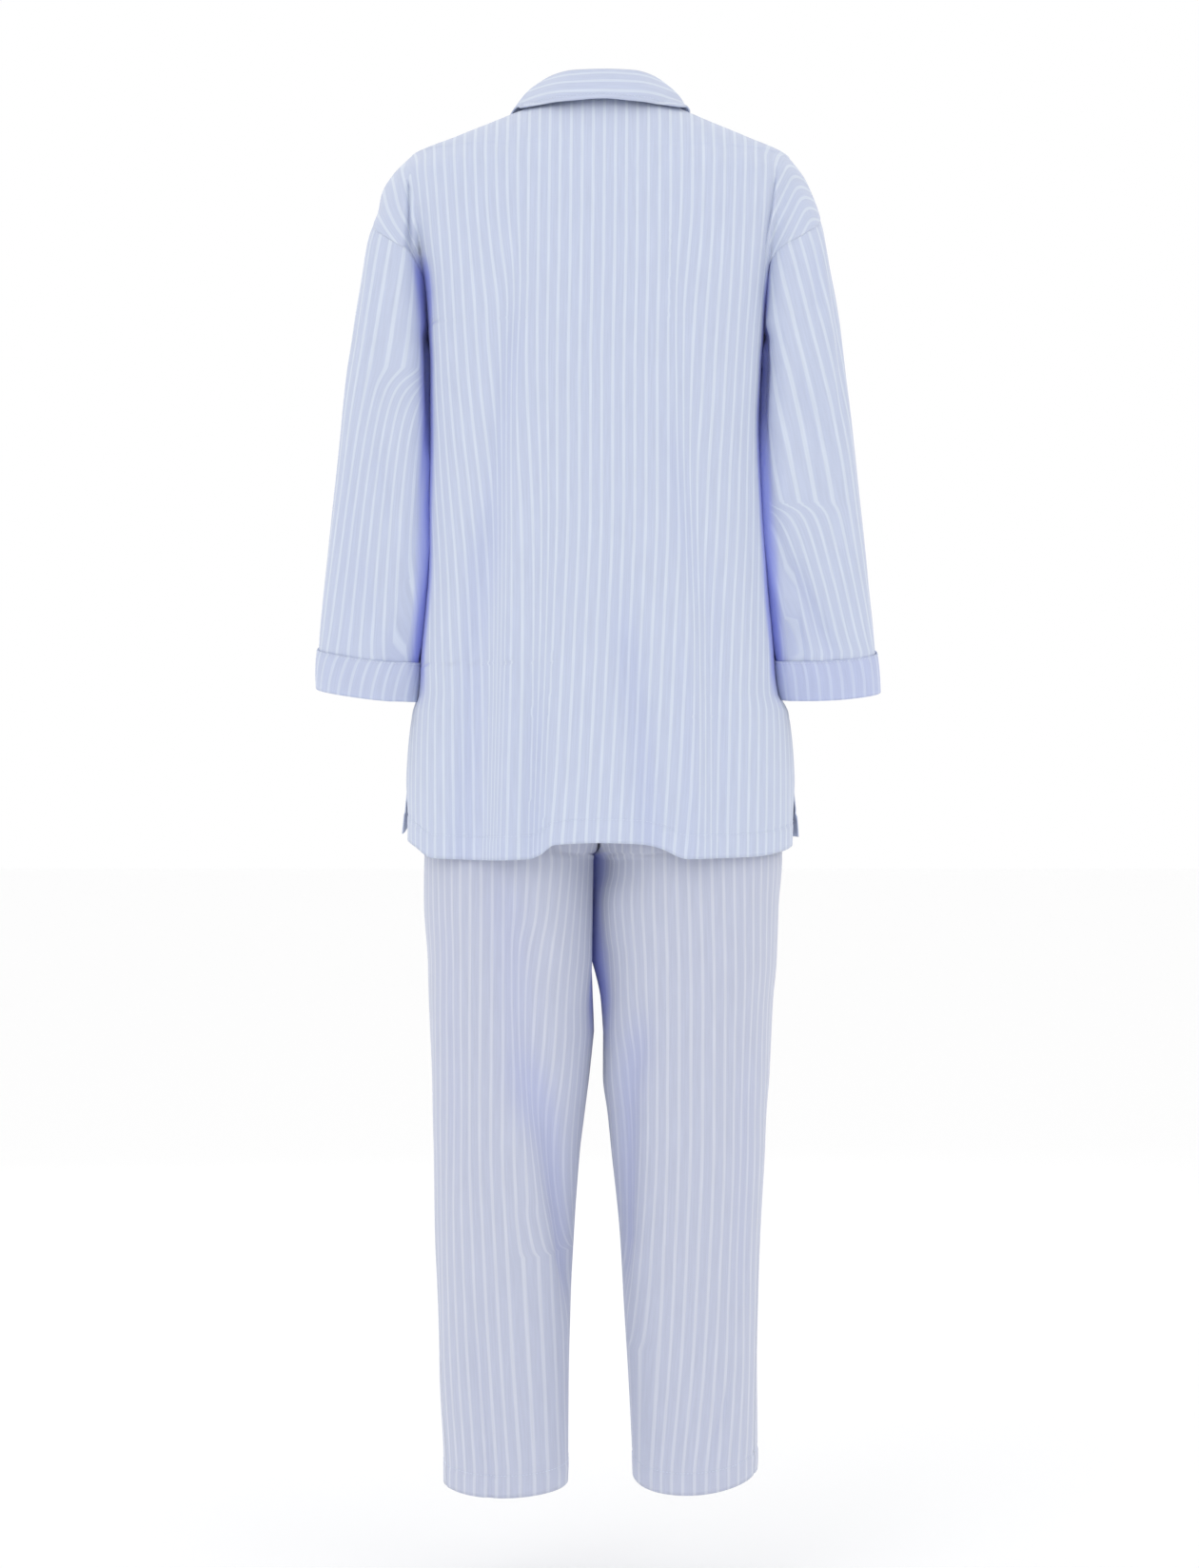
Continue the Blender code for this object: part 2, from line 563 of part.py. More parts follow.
def with_hem(grid, levels, hem):
    """The grid's lowest rows drawn to the hem's line."""
    fixed = grid[: len(TOP_LEVELS)]
    below = grid[len(TOP_LEVELS) :]
    low_levels = np.concatenate([[HEM_START], levels[len(TOP_LEVELS) :]])
    low = np.concatenate([grid[len(TOP_LEVELS) - 1][None], below])
    ends = curve(hem, "z", low[-1, :, 0])
    share = np.linspace(0.0, 1.0, HEM_ROWS + 1)[1:, None]
    wanted = HEM_START + (ends[None, :] - HEM_START) * share
    return np.concatenate([fixed, to_levels(low, low_levels, wanted)])


def slit(grid, amount, columns_from_edge):
    """The free edge beside the slit moved out by `amount`, less and less away from it."""
    moved = grid.copy()
    down = ease((SLIT_TOP - grid[..., 2]) / 0.075)
    edge = grid[:, columns_from_edge][:, None, :]
    near = np.exp(-((np.linalg.norm(grid - edge, axis=2) / 0.035) ** 2))
    sign = np.sign(edge[..., 0])
    moved[..., 0] += sign * amount * down * near
    return moved


def edge_fade(grid, first, last, reach=0.016):
    """0 at the seam edges of a grid and 1 further in."""
    run = np.concatenate(
        [np.zeros((grid.shape[0], 1)), np.cumsum(np.linalg.norm(np.diff(grid, axis=1), axis=2), axis=1)], axis=1
    )
    fade = np.ones(run.shape)
    if first:
        fade *= ease(run / reach)
    if last:
        fade *= ease((run[:, -1:] - run) / reach)
    return fade


def deep_levels():
    return np.concatenate([TOP_LEVELS, np.linspace(HEM_START, -0.775, 7)[1:]])


def top_back(columns=16):
    levels = deep_levels()
    halves = {side: half_grid(side, BACK, columns, levels, lambda z: 0.0) for side in (LEFT, RIGHT)}
    grid = np.concatenate([halves[RIGHT][:, :0:-1], halves[LEFT]], axis=1)
    grid = with_hem(grid, levels, BACK_HEM)
    amount = folded(BACK_FOLDS, grid[..., 0], grid[..., 2]) * edge_fade(grid, True, True)
    grid[..., 1] -= amount
    grid = slit(grid, -SLIT_BACK_IN, 0)
    grid = slit(grid, -SLIT_BACK_IN, -1)
    return wall("top_back", shifted(grid))


def neck_edge(z):
    """How far from the middle a front starts: the V of the neck above the break, past the middle below."""
    if z < BREAK:
        return -LAP * float(ease((BREAK - z) / 0.02))
    return min(NECK_SPREAD * (z - BREAK) / -BREAK, torso_at(z)["half_width"] - 0.014)


def front_grid(side, columns):
    """A front from its overlap or neck edge to the side seam, before it is thickened."""
    levels = deep_levels()
    grid = half_grid(side, FRONT, columns, levels, neck_edge)
    grid = with_hem(grid, levels, FRONT_HEM)
    amount = folded(FRONT_FOLDS, grid[..., 0], grid[..., 2]) * edge_fade(grid, True, True)
    grid[..., 1] += amount
    return slit(grid, SLIT_FRONT_OUT, -1)


def lapped(grid, side):
    """The fronts drawn apart where they overlap: the right one lies outside."""
    step = LAP_STEP * ease((0.030 - side * grid[..., 0]) / 0.02) * ease((BREAK + 0.04 - grid[..., 2]) / 0.03)
    moved = grid.copy()
    moved[..., 1] += step * (1 if side == LEFT else -1)
    return moved


def top_front(side, columns=10):
    grid = lapped(front_grid(side, columns), side)
    return wall("top_front_left" if side == LEFT else "top_front_right", shifted(grid))


def clear_of_body(points, clear):
    """Points pushed out until they stand `clear` outside the body's form."""
    moved = points.copy()
    flat = moved.reshape(-1, 3)
    for point in flat:
        reach = torso_reach(point[None], point[2] - COLLAR_LIFT, clear)[0]
        if reach < 1.0:
            point[:2] /= reach ** float(1 - ease((point[2] - NECK_TOP - COLLAR_LIFT) / 0.006))
    return moved


def facing(side, columns=5, rows=9):
    """The turned-out revers: made from the front's points and moved out."""
    grid = []
    for z in np.linspace(REVERS_TOP, -0.205, rows):
        line = body_row(z, side, FRONT)
        start = max(neck_edge(z), 0.0) + 0.0004
        width = float(curve(REVERS, "width", z))
        line = line[np.abs(line[:, 0]) >= start]
        grid.append(along(line, np.linspace(0.0, width, columns)))
    grid = np.array(grid)
    share = np.linspace(0.0, 1.0, columns)
    lift = 0.0025 + 0.0035 * np.sin(share * math.pi) ** 2 * ease((grid[:, :1, 2] + 0.21) / 0.08)
    grid = lapped(grid, side) + normals(grid) * lift[..., None] * facing_sign(grid)
    return wall("front_facing_left" if side == LEFT else "front_facing_right", shifted(grid))


def facing_sign(grid):
    """1 where the grid's normals point away from the wearer, else -1."""
    return 1.0 if normals(grid)[..., 1].mean() < 0 else -1.0


def collar(columns=25, across=7):
    names = COLLAR[0]
    half = np.array(COLLAR[1:])
    right = half[:0:-1] * np.array([-COLLAR_RIGHT if name.endswith("_x") else 1.0 for name in names])
    whole = np.concatenate([right, half])
    run = lengths(whole[:, 3:6])
    at = np.linspace(0.0, run[-1], columns)
    rows = []
    for name in range(9):
        table = (("run", "value"),) + tuple(zip(run, whole[:, name]))
        rows.append(curve(table, "value", at))
    foot, roll, edge = (np.stack(rows[k : k + 3], axis=1) for k in (0, 3, 6))
    grid = []
    for share in np.linspace(0.0, 1.0, 3)[:-1]:
        grid.append(foot + (roll - foot) * share)
    for share in np.linspace(0.0, 1.0, across - 2):
        bulge = 0.004 * math.sin(share * math.pi)
        point = roll + (edge - roll) * share
        away = point - np.array([0.0, 0.0, 0.0])
        away[:, 2] = 0.012
        away /= np.linalg.norm(away, axis=1, keepdims=True)
        grid.append(point + away * bulge)
    grid = np.array(grid)
    grid[2:] = clear_of_body(grid[2:], COLLAR_CLEAR)
    return wall("collar", shifted(grid))


def sleeve_edge(side, levels):
    """The sleeve's top edge, from the ridge round by the back: (share, level) of each column."""
    under, _ = UNDERARM[side]
    found = {BACK: [], FRONT: []}
    for face in (BACK, FRONT):
        for z in levels:
            if not under < z < ARMHOLE_TOP - 1e-6:
                continue
            ring = arm_ring(z, side)
            arc = ring if face == BACK else ring[::-1]
            outside = torso_reach(arc, z, ARM_CLEAR) >= 1.0
            stop = int(np.argmin(outside)) if not outside.all() else len(arc) // 2
            seam = np.abs(arc[:stop, 0]) < cut_x(z, side)
            index = int(np.argmax(seam)) if seam.any() else stop - 1
            share = lengths(arc)[index] / lengths(arc)[-1]
            found[face].append(((share if face == BACK else 1.0 - share) + ridge_share(z, side), z))
    return [(ridge_share(ARMHOLE_TOP, side), ARMHOLE_TOP)] + found[BACK] + [(0.5, under - 0.013)] + found[FRONT][::-1]


def end_level(ends, share):
    """The level of a tube's end at this share of the way round: outer, back middle, inner."""
    outer, back, inner = ends
    turn = 2 * math.pi * share
    level = (outer + inner) / 2 + (outer - inner) / 2 * np.cos(turn)
    return level + (back - (outer + inner) / 2) * np.sin(turn) * np.where(np.sin(turn) > 0, 1.0, 0.35)


def sleeve_grid(side, edge, rows, end_up):
    """A sleeve's points: columns run from the armhole to the cuff."""
    count = len(edge)
    grid = np.empty((rows, count, 3))
    for c, (share, top) in enumerate(edge):
        share_end = c / count
        bottom = float(end_level(CUFF_END[side], share_end)) + end_up
        top = top - SEAM_GAP * 3.0
        for r in range(rows):
            down = r / (rows - 1)
            z = top + (bottom - top) * down
            grid[r, c] = arm_point(z, side, share + (share_end - share) * float(ease(down * 1.15)))
    return grid


def sleeve(side, rows=15):
    edge = sleeve_edge(side, TOP_LEVELS)
    grid = sleeve_grid(side, edge, rows, SLEEVE_IN_CUFF)
    around = np.array([[c / len(edge) for c in range(len(edge))]])
    amount = folded(SLEEVE_FOLDS[side], around, grid[..., 2])
    amount = amount * ease((grid[..., 2] - CUFF_END[side][1] - CUFF_WIDTH * 0.6) / 0.05)
    amount = amount * ease(np.arange(rows)[:, None] / 3.0)
    centre = grid.mean(axis=1, keepdims=True)
    inwards = centre - grid
    inwards[..., 2] = 0.0
    inwards /= np.linalg.norm(inwards, axis=2, keepdims=True)
    grid = grid + inwards * amount[..., None]
    return wall("sleeve_left" if side == LEFT else "sleeve_right", shifted(grid), closed=True)


def cuff(side):
    """The turned-up band round the end of a sleeve."""
    columns = len(sleeve_edge(side, TOP_LEVELS))
    share = np.arange(columns) / columns
    bottom = end_level(CUFF_END[side], share)
    grid = []
    for up in (0.0, 0.5, 1.0):
        ring = [arm_point(z + CUFF_WIDTH * up, side, s) for z, s in zip(bottom, share)]
        grid.append(ring)
    grid = np.array(grid)
    centre = grid.mean(axis=1, keepdims=True)
    out = grid - centre
    out[..., 2] = 0.0
    out /= np.linalg.norm(out, axis=2, keepdims=True)
    return wall("cuff_left" if side == LEFT else "cuff_right", shifted(grid + out * CUFF_STAND), closed=True)


def button(index, level):
    """A round button seated just off the upper front."""
    size = torso_at(level)
    y = -size["front"] - LAP_STEP - WALL / 2 - BUTTON_GAP
    x = float(curve(TORSO, "shift", level))
    count = 16
    angle = np.linspace(0.0, 2 * math.pi, count, endpoint=False)
    layers = ((0.92, 0.0), (1.0, 0.3), (1.0, 0.8), (0.86, 1.0))
    points = [
        (x + BUTTON_RADIUS * wide * math.cos(a), y - BUTTON_THICK * up, level + BUTTON_RADIUS * wide * math.sin(a))
        for wide, up in layers
        for a in angle
    ]
    faces = [tuple(range(count)), tuple(range(3 * count, 4 * count))[::-1]]
    for layer in range(3):
        for k in range(count):
            a, b = layer * count + k, layer * count + (k + 1) % count
            faces.append((b, a, a + count, b + count))
    return make(f"button_{index}", np.array(points), faces, BUTTON, 0.3)


# ------------------------------------------------------------------ the trousers
def leg_ring(z, side, count=480):
    """A leg's outline at one level, from its outermost point round by the back, closed on itself."""
    suffix = "left" if side == LEFT else "right"
    outer = float(curve(LEGS, "outer_" + suffix, z))
    inner = float(curve(LEGS, "inner_" + suffix, z))
    middle, depth, square = (float(curve(LEGS, name, z)) for name in ("middle", "half_depth", "square"))
    angle = np.linspace(0.0, 2 * math.pi, count + 1)
    x = (outer + inner) / 2 + (outer - inner) / 2 * power(np.cos(angle), 2 / square)
    y = middle + depth * power(np.sin(angle), 2 / square)
    return np.stack([side * x, y, np.full(count + 1, z)], axis=1)


def leg_row(z, side, face, count):
    """Half a leg's outline: from the inside leg or centre seam to the side seam."""
    ring = leg_ring(z, side)
    if face == FRONT:
        ring = ring[::-1]
    half = ring[: len(ring) // 2 + 1]
    seam = math.radians(90 - outseam(z)) if face == BACK else -math.radians(90 - outseam(z))
    run = lengths(half)
    start = run[-1] * seam / math.pi
    if start >= 0:
        line = along(half, np.linspace(start, run[-1], 300))
    else:
        other = ring[::-1][: len(ring) // 4]
        extra = along(other, np.linspace(-start, 0.0, 60))
        line = np.concatenate([extra[:-1], half])
    joined = side * line[:, 0] < SEAM_GAP
    line = line[~joined][::-1]
    run = lengths(line)[-1]
    start = 0.0 if joined.any() else SEAM_GAP * 1.3
    return along(line, np.linspace(start, run - SEAM_GAP * 1.3, count))


def parted(grid):
    """The cloth between the legs moved aside and slanted, both legs alike."""
    moved = grid.copy()
    near = np.exp(-((grid[..., 0] / 0.035) ** 2))
    aside = curve(LEGS_PART, "aside", grid[..., 2])
    slant = curve(LEGS_PART, "slant", grid[..., 2])
    moved[..., 0] += near * (aside + slant * grid[..., 1])
    return moved


def outseam(z):
    """The side seam's angle from the back: it turns to the back of the leg towards the ankle."""
    return OUTSEAM["top"] + (OUTSEAM["end"] - OUTSEAM["top"]) * float(ease((-0.75 - z) / 0.65))


def leg_levels(rows):
    share = np.linspace(0.0, 1.0, rows)
    return WAIST - SEAM_GAP + (-1.36 - WAIST) * share


def trouser(side, face, columns=9, rows=21):
    levels = np.concatenate([leg_levels(rows), np.array([-1.375, -1.392])])
    grid = np.array([leg_row(z, side, face, columns) for z in levels])
    size = grid.shape
    around = np.linspace(0.5, 0.0, columns)[None, :]
    if face == FRONT:
        around = 1.0 - around
    share = around * np.ones((size[0], 1))
    amount = folded(LEG_FOLDS[side], share, grid[..., 2]) * edge_fade(grid, True, True)
    grid = pressed(grid, amount, outward=np.sign((normals(grid)[..., 1] * face).mean()))
    ends = end_level(LEG_END[side], share[-1])
    wanted = np.repeat(levels[:, None], columns, axis=1)[:-1]
    wanted[-1] = ends
    grid = to_levels(grid, levels, wanted)
    name = "trouser_{}_{}".format("back" if face == BACK else "front", "left" if side == LEFT else "right")
    return wall(name, parted(grid))


def waistband(columns=44):
    """The elastic casing: a band standing on the trousers' top edge."""
    grid = []
    for up in (0.0, 0.33, 0.67, 1.0):
        z = WAIST + SEAM_GAP + WAISTBAND_WIDTH * up
        wide = float(curve(LEGS, "outer_left", WAIST))
        middle, depth, square = (float(curve(LEGS, n, WAIST)) for n in ("middle", "half_depth", "square"))
        angle = np.linspace(0.0, 2 * math.pi, 481)
        line = np.stack(
            [wide * power(np.cos(angle), 2 / square), middle + depth * power(np.sin(angle), 2 / square)], axis=1
        )
        ring = even(line, columns + 1)[:-1]
        wave = 1 + 0.008 * np.cos(np.arange(columns) * math.pi) * math.sin(up * math.pi)
        grid.append(np.column_stack([ring * wave[:, None], np.full(columns, z)]))
    return wall("waistband", np.array(grid), closed=True, thick=0.0024)


def main():
    for old in list(bpy.data.objects):
        bpy.data.objects.remove(old)
    top_back()
    for side in (LEFT, RIGHT):
        top_front(side)
        facing(side)
        sleeve(side)
        cuff(side)
        trouser(side, BACK)
        trouser(side, FRONT)
    collar()
    for index, level in enumerate(BUTTON_LEVELS, 1):
        button(index, level)
    waistband()


main()
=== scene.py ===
"""The striped pyjama set, dressed: cotton poplin panels, stitching, buttons and a plain studio.

Metres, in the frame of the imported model: the front faces -Y, the wearer's left is +X, and the origin
lies at the height of the neck points. Each panel is a sheet of cloth on the form of its solid, with its
folds pressed in, and carries the lie of its threads as a UV map in metres.
"""
import math

import bpy
import numpy as np
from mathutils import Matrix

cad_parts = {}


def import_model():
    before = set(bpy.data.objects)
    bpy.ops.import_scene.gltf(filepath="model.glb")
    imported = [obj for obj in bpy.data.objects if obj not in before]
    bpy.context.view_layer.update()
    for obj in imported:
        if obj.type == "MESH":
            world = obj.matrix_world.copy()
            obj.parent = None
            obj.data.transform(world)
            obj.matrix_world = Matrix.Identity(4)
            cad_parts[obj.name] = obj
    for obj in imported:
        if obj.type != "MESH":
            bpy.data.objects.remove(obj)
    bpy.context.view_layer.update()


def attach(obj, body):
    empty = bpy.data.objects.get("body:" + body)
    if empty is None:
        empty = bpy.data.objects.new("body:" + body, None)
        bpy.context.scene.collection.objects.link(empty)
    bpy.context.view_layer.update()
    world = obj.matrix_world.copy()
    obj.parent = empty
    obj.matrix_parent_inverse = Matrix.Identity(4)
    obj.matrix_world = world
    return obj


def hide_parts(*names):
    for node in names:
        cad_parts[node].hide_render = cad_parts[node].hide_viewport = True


LEFT = 1
RIGHT = -1
BACK = 1
FRONT = -1

CLOTH_THICK = 0.0011
SEAM_GAP = 0.0003

# ------------------------------------------------------------------ sizes of the top
# One row per level: the body's half width, its depth behind and before the side line, how square it is,
# and how far its middle stands to the wearer's left.
TORSO = (
    ("z", "half_width", "back", "front", "square", "shift"),
    (0.0077, 0.066, 0.072, 0.045, 2.0, -0.005),
    (-0.0048, 0.0815, 0.084, 0.058, 2.0, -0.004),
    (-0.0144, 0.1040, 0.091, 0.068, 2.0, -0.003),
    (-0.0336, 0.1510, 0.101, 0.082, 2.1, -0.002),
    (-0.0528, 0.1920, 0.109, 0.093, 2.3, 0.000),
    (-0.0720, 0.2010, 0.116, 0.101, 2.9, 0.001),
    (-0.0912, 0.1960, 0.121, 0.107, 3.2, 0.001),
    (-0.1104, 0.1910, 0.125, 0.112, 3.5, 0.001),
    (-0.1488, 0.1820, 0.130, 0.120, 3.8, 0.002),
    (-0.1776, 0.1740, 0.132, 0.125, 4.0, 0.002),
    (-0.2256, 0.1675, 0.132, 0.130, 4.2, 0.003),
    (-0.2736, 0.1645, 0.130, 0.129, 4.2, 0.004),
    (-0.3216, 0.1640, 0.127, 0.125, 4.0, 0.005),
    (-0.3984, 0.1675, 0.123, 0.119, 3.6, 0.004),
    (-0.4752, 0.1710, 0.123, 0.116, 3.2, 0.002),
    (-0.5520, 0.1770, 0.127, 0.118, 2.9, 0.002),
    (-0.5900, 0.1810, 0.130, 0.119, 2.6, 0.001),
    (-0.6090, 0.1885, 0.131, 0.120, 2.55, -0.001),
    (-0.6576, 0.1940, 0.134, 0.122, 2.5, -0.001),
    (-0.7100, 0.1960, 0.135, 0.124, 2.5, -0.001),
    (-0.7700, 0.1970, 0.135, 0.125, 2.5, 0.000),
)
# The arm's tube, cut level: how far out it reaches on each side, where its inner wall stands,
# its middle line, half depth and squareness, and how far it is turned forward (degrees).
ARM = (
    (
        "z", "outer_left", "outer_right", "inner", "middle",
        "half_depth", "square", "turn", "slant_left", "slant_right",
    ),
    (-0.0450, 0.1780, 0.1780, 0.1000, 0.000, 0.030, 2.2, 0.0, 0.0000, 0.0000),
    (-0.0528, 0.1930, 0.1920, 0.1080, 0.000, 0.041, 2.2, 2.0, 0.0000, 0.0000),
    (-0.0720, 0.2086, 0.2066, 0.1200, 0.001, 0.060, 2.3, 5.0, 0.0000, 0.0000),
    (-0.0912, 0.2169, 0.2134, 0.1300, 0.003, 0.069, 2.5, 8.0, 0.0000, 0.0000),
    (-0.1104, 0.2192, 0.2189, 0.1390, 0.006, 0.075, 2.8, 10.0, 0.0000, 0.0000),
    (-0.1296, 0.2246, 0.2228, 0.1480, 0.009, 0.080, 3.2, 9.0, 0.0050, 0.0000),
    (-0.1488, 0.2282, 0.2260, 0.1550, 0.012, 0.083, 3.7, 7.0, 0.0110, 0.0000),
    (-0.1680, 0.2308, 0.2290, 0.1590, 0.015, 0.084, 4.0, 5.0, 0.0130, 0.0000),
    (-0.2256, 0.2386, 0.2406, 0.1605, 0.018, 0.082, 4.4, 3.0, 0.0110, 0.0020),
    (-0.2420, 0.2406, 0.2430, 0.1670, 0.018, 0.081, 4.4, 2.5, 0.0040, 0.0010),
    (-0.2736, 0.2454, 0.2475, 0.1670, 0.018, 0.079, 4.4, 2.0, 0.0015, 0.0040),
    (-0.3216, 0.2507, 0.2547, 0.1662, 0.018, 0.075, 4.4, 1.2, 0.0000, 0.0040),
    (-0.3984, 0.2612, 0.2621, 0.1698, 0.018, 0.069, 4.2, 0.8, 0.0000, 0.0000),
    (-0.4752, 0.2715, 0.2694, 0.1734, 0.015, 0.062, 3.8, 2.0, 0.0000, 0.0020),
    (-0.5300, 0.2770, 0.2762, 0.1778, 0.010, 0.057, 3.6, 4.0, 0.0000, 0.0020),
    (-0.5560, 0.2789, 0.2783, 0.1826, 0.008, 0.055, 3.4, 5.0, 0.0000, 0.0010),
    (-0.6100, 0.2819, 0.2819, 0.1892, 0.004, 0.051, 3.0, 6.0, 0.0000, 0.0000),
)
ARM_TOP = -0.045
ARMHOLE_TOP = {LEFT: -0.1180, RIGHT: -0.1140}
ARMHOLE_END = -0.1560
ARMHOLE_FALL = {LEFT: 0.98, RIGHT: 1.00}
SEAM_RUN = 1.8
ARM_CLEAR = -0.0015
CUFF_END = {LEFT: (-0.5812, -0.5950, -0.5965), RIGHT: (-0.5840, -0.5970, -0.5925)}
CUFF_WIDTH = 0.039
CUFF_STAND = 0.0018
SLEEVE_IN_CUFF = 0.004
# How far back a sleeve lies against the body, level by level: behind it a slit stays open.
PRESS_CLEAR = 0.0014
# SLIT_MOUTH: how far back the painted shade of each slit reaches, level by level.
SLIT_MOUTH = (
    ("z", "left", "right"),
    (-0.160, 0.090, 0.082), (-0.300, 0.086, 0.080), (-0.450, 0.074, 0.074), (-0.600, 0.062, 0.062),
)
PRESS_REACH = 0.011
PRESS = (
    ("z", "left", "right"),
    (-0.240, 0.048, 0.060), (-0.270, 0.052, 0.052), (-0.300, 0.056, 0.052), (-0.330, 0.062, 0.060),
    (-0.370, 0.072, 0.068), (-0.470, 0.072, 0.070), (-0.530, 0.068, 0.068), (-0.600, 0.062, 0.062),
)
SLEEVE_UNDER_CAP = 0.002
SEAM_DIP = 0.0012

NECK_TOP = 0.0077
BREAK = -0.215
NECK_SPREAD = 0.062
LAP = 0.015
LAP_STEP = 0.00135
SIDE_SEAM = 97.0
SLIT_TOP = -0.672
SLIT_BACK_IN = 0.011
SLIT_FRONT_OUT = 0.004
BODY_END = -0.6600
HEM_DEEP = 0.023
BACK_HEM = (
    ("x", "z"),
    (-0.200, -0.7380), (-0.180, -0.7470), (-0.150, -0.7520), (-0.085, -0.7535), (-0.058, -0.7430),
    (-0.040, -0.7395), (0.000, -0.7380), (0.045, -0.7400), (0.058, -0.7500), (0.070, -0.7540),
    (0.110, -0.7550), (0.165, -0.7535), (0.182, -0.7430), (0.200, -0.7330),
)
FRONT_HEM = (
    ("x", "z"),
    (-0.200, -0.7345), (-0.186, -0.7325), (-0.165, -0.7140), (0.000, -0.7080), (0.165, -0.7060),
    (0.190, -0.7080), (0.197, -0.7310), (0.202, -0.7330),
)
# Folds of the body: where each starts and ends, its half width and depth (inwards is positive).
BACK_FOLDS = (
    ("x_top", "z_top", "x_end", "z_end", "half_width", "depth", "fade"),
    (0.075, -0.200, 0.104, -0.470, 0.013, 0.0070, 0.10),
    (0.110, -0.400, 0.134, -0.790, 0.017, 0.0110, 0.12),
    (0.062, -0.560, 0.066, -0.800, 0.011, 0.0070, 0.12),
    (-0.070, -0.300, -0.088, -0.480, 0.012, 0.0060, 0.10),
    (-0.022, -0.480, -0.055, -0.800, 0.015, 0.0100, 0.12),
    (-0.108, -0.420, -0.118, -0.700, 0.016, 0.0050, 0.14),
    (0.086, -0.480, 0.096, -0.800, 0.012, -0.0050, 0.12),
    (-0.085, -0.500, -0.088, -0.800, 0.014, -0.0060, 0.14),
)
FRONT_FOLDS = (
    ("x_top", "z_top", "x_end", "z_end", "half_width", "depth", "fade"),
    (0.080, -0.260, 0.105, -0.790, 0.014, 0.0090, 0.12),
    (-0.085, -0.280, -0.098, -0.790, 0.015, 0.0080, 0.12),
    (0.130, -0.420, 0.145, -0.790, 0.012, 0.0060, 0.12),
    (-0.045, -0.450, -0.058, -0.790, 0.012, 0.0060, 0.12),
)
# Folds of the sleeves, by the share of the way round from the outer side by way of the back.
SLEEVE_FOLDS = {
    LEFT: (
        ("round_top", "z_top", "round_end", "z_end", "half_width", "depth", "fade"),
        (0.16, -0.330, 0.22, -0.620, 0.060, 0.0030, 0.10),
        (0.335, -0.180, 0.340, -0.470, 0.030, -0.0040, 0.08),
        (0.345, -0.520, 0.355, -0.640, 0.040, 0.0060, 0.06),
        (0.240, -0.350, 0.300, -0.420, 0.020, 0.0028, 0.03),
        (0.225, -0.455, 0.290, -0.530, 0.022, 0.0026, 0.03),
        (0.78, -0.300, 0.72, -0.600, 0.050, 0.0050, 0.10),
        (0.600, -0.330, 0.670, -0.420, 0.022, 0.0034, 0.04),
        (0.620, -0.460, 0.700, -0.540, 0.024, 0.0030, 0.04),
    ),
    RIGHT: (
        ("round_top", "z_top", "round_end", "z_end", "half_width", "depth", "fade"),
        (0.345, -0.455, 0.250, -0.565, 0.028, 0.0070, 0.05),
        (0.36, -0.490, 0.34, -0.640, 0.040, 0.0060, 0.06),
        (0.335, -0.190, 0.340, -0.430, 0.030, -0.0035, 0.07),
        (0.215, -0.145, 0.225, -0.215, 0.018, 0.0040, 0.03),
        (0.10, -0.150, 0.17, -0.330, 0.040, 0.0030, 0.07),
        (0.290, -0.270, 0.230, -0.350, 0.020, 0.0030, 0.03),
        (0.76, -0.280, 0.72, -0.600, 0.050, 0.0050, 0.10),
        (0.590, -0.350, 0.660, -0.430, 0.022, 0.0034, 0.04),
        (0.630, -0.470, 0.690, -0.560, 0.024, 0.0030, 0.04),
    ),
}

# ------------------------------------------------------------------ sizes of the collar and fastening
COLLAR = (
    ("foot_x", "foot_y", "foot_z", "roll_x", "roll_y", "roll_z", "edge_x", "edge_y", "edge_z"),
    (0.0000, 0.0700, 0.0105, 0.0000, 0.0770, 0.0245, 0.0000, 0.1010, -0.0085),
    (0.0300, 0.0630, 0.0105, 0.0310, 0.0690, 0.0250, 0.0390, 0.0935, -0.0100),
    (0.0480, 0.0430, 0.0110, 0.0490, 0.0470, 0.0255, 0.0700, 0.0630, -0.0100),
    (0.0550, 0.0140, 0.0115, 0.0610, 0.0180, 0.0240, 0.0880, 0.0180, -0.0020),
    (0.0500, -0.0160, 0.0110, 0.0600, -0.0180, 0.0190, 0.0960, -0.0240, -0.0040),
    (0.0500, -0.0460, -0.0020, 0.0590, -0.0480, 0.0060, 0.1060, -0.0540, -0.0220),
    (0.0470, -0.0720, -0.0240, 0.0530, -0.0780, -0.0200, 0.1060, -0.0800, -0.0450),
    (0.0400, -0.0920, -0.0480, 0.0460, -0.0960, -0.0470, 0.0930, -0.0950, -0.0660),
)
COLLAR_RIGHT = 0.92
COLLAR_CLEAR = 0.0034
COLLAR_LIFT = 0.0035
COLLAR_THICK = 0.0016
REVERS_TOP = -0.079
REVERS = (
    ("z", "width"),
    (-0.079, 0.058), (-0.110, 0.046), (-0.150, 0.030), (-0.185, 0.014), (-0.205, 0.005),
)
BUTTON_LEVELS = (-0.238, -0.358, -0.478, -0.598)
BUTTON_RADIUS = 0.006
BUTTON_THICK = 0.0026
BUTTON_GAP = 0.0008
FRONT_WALL = 0.0008

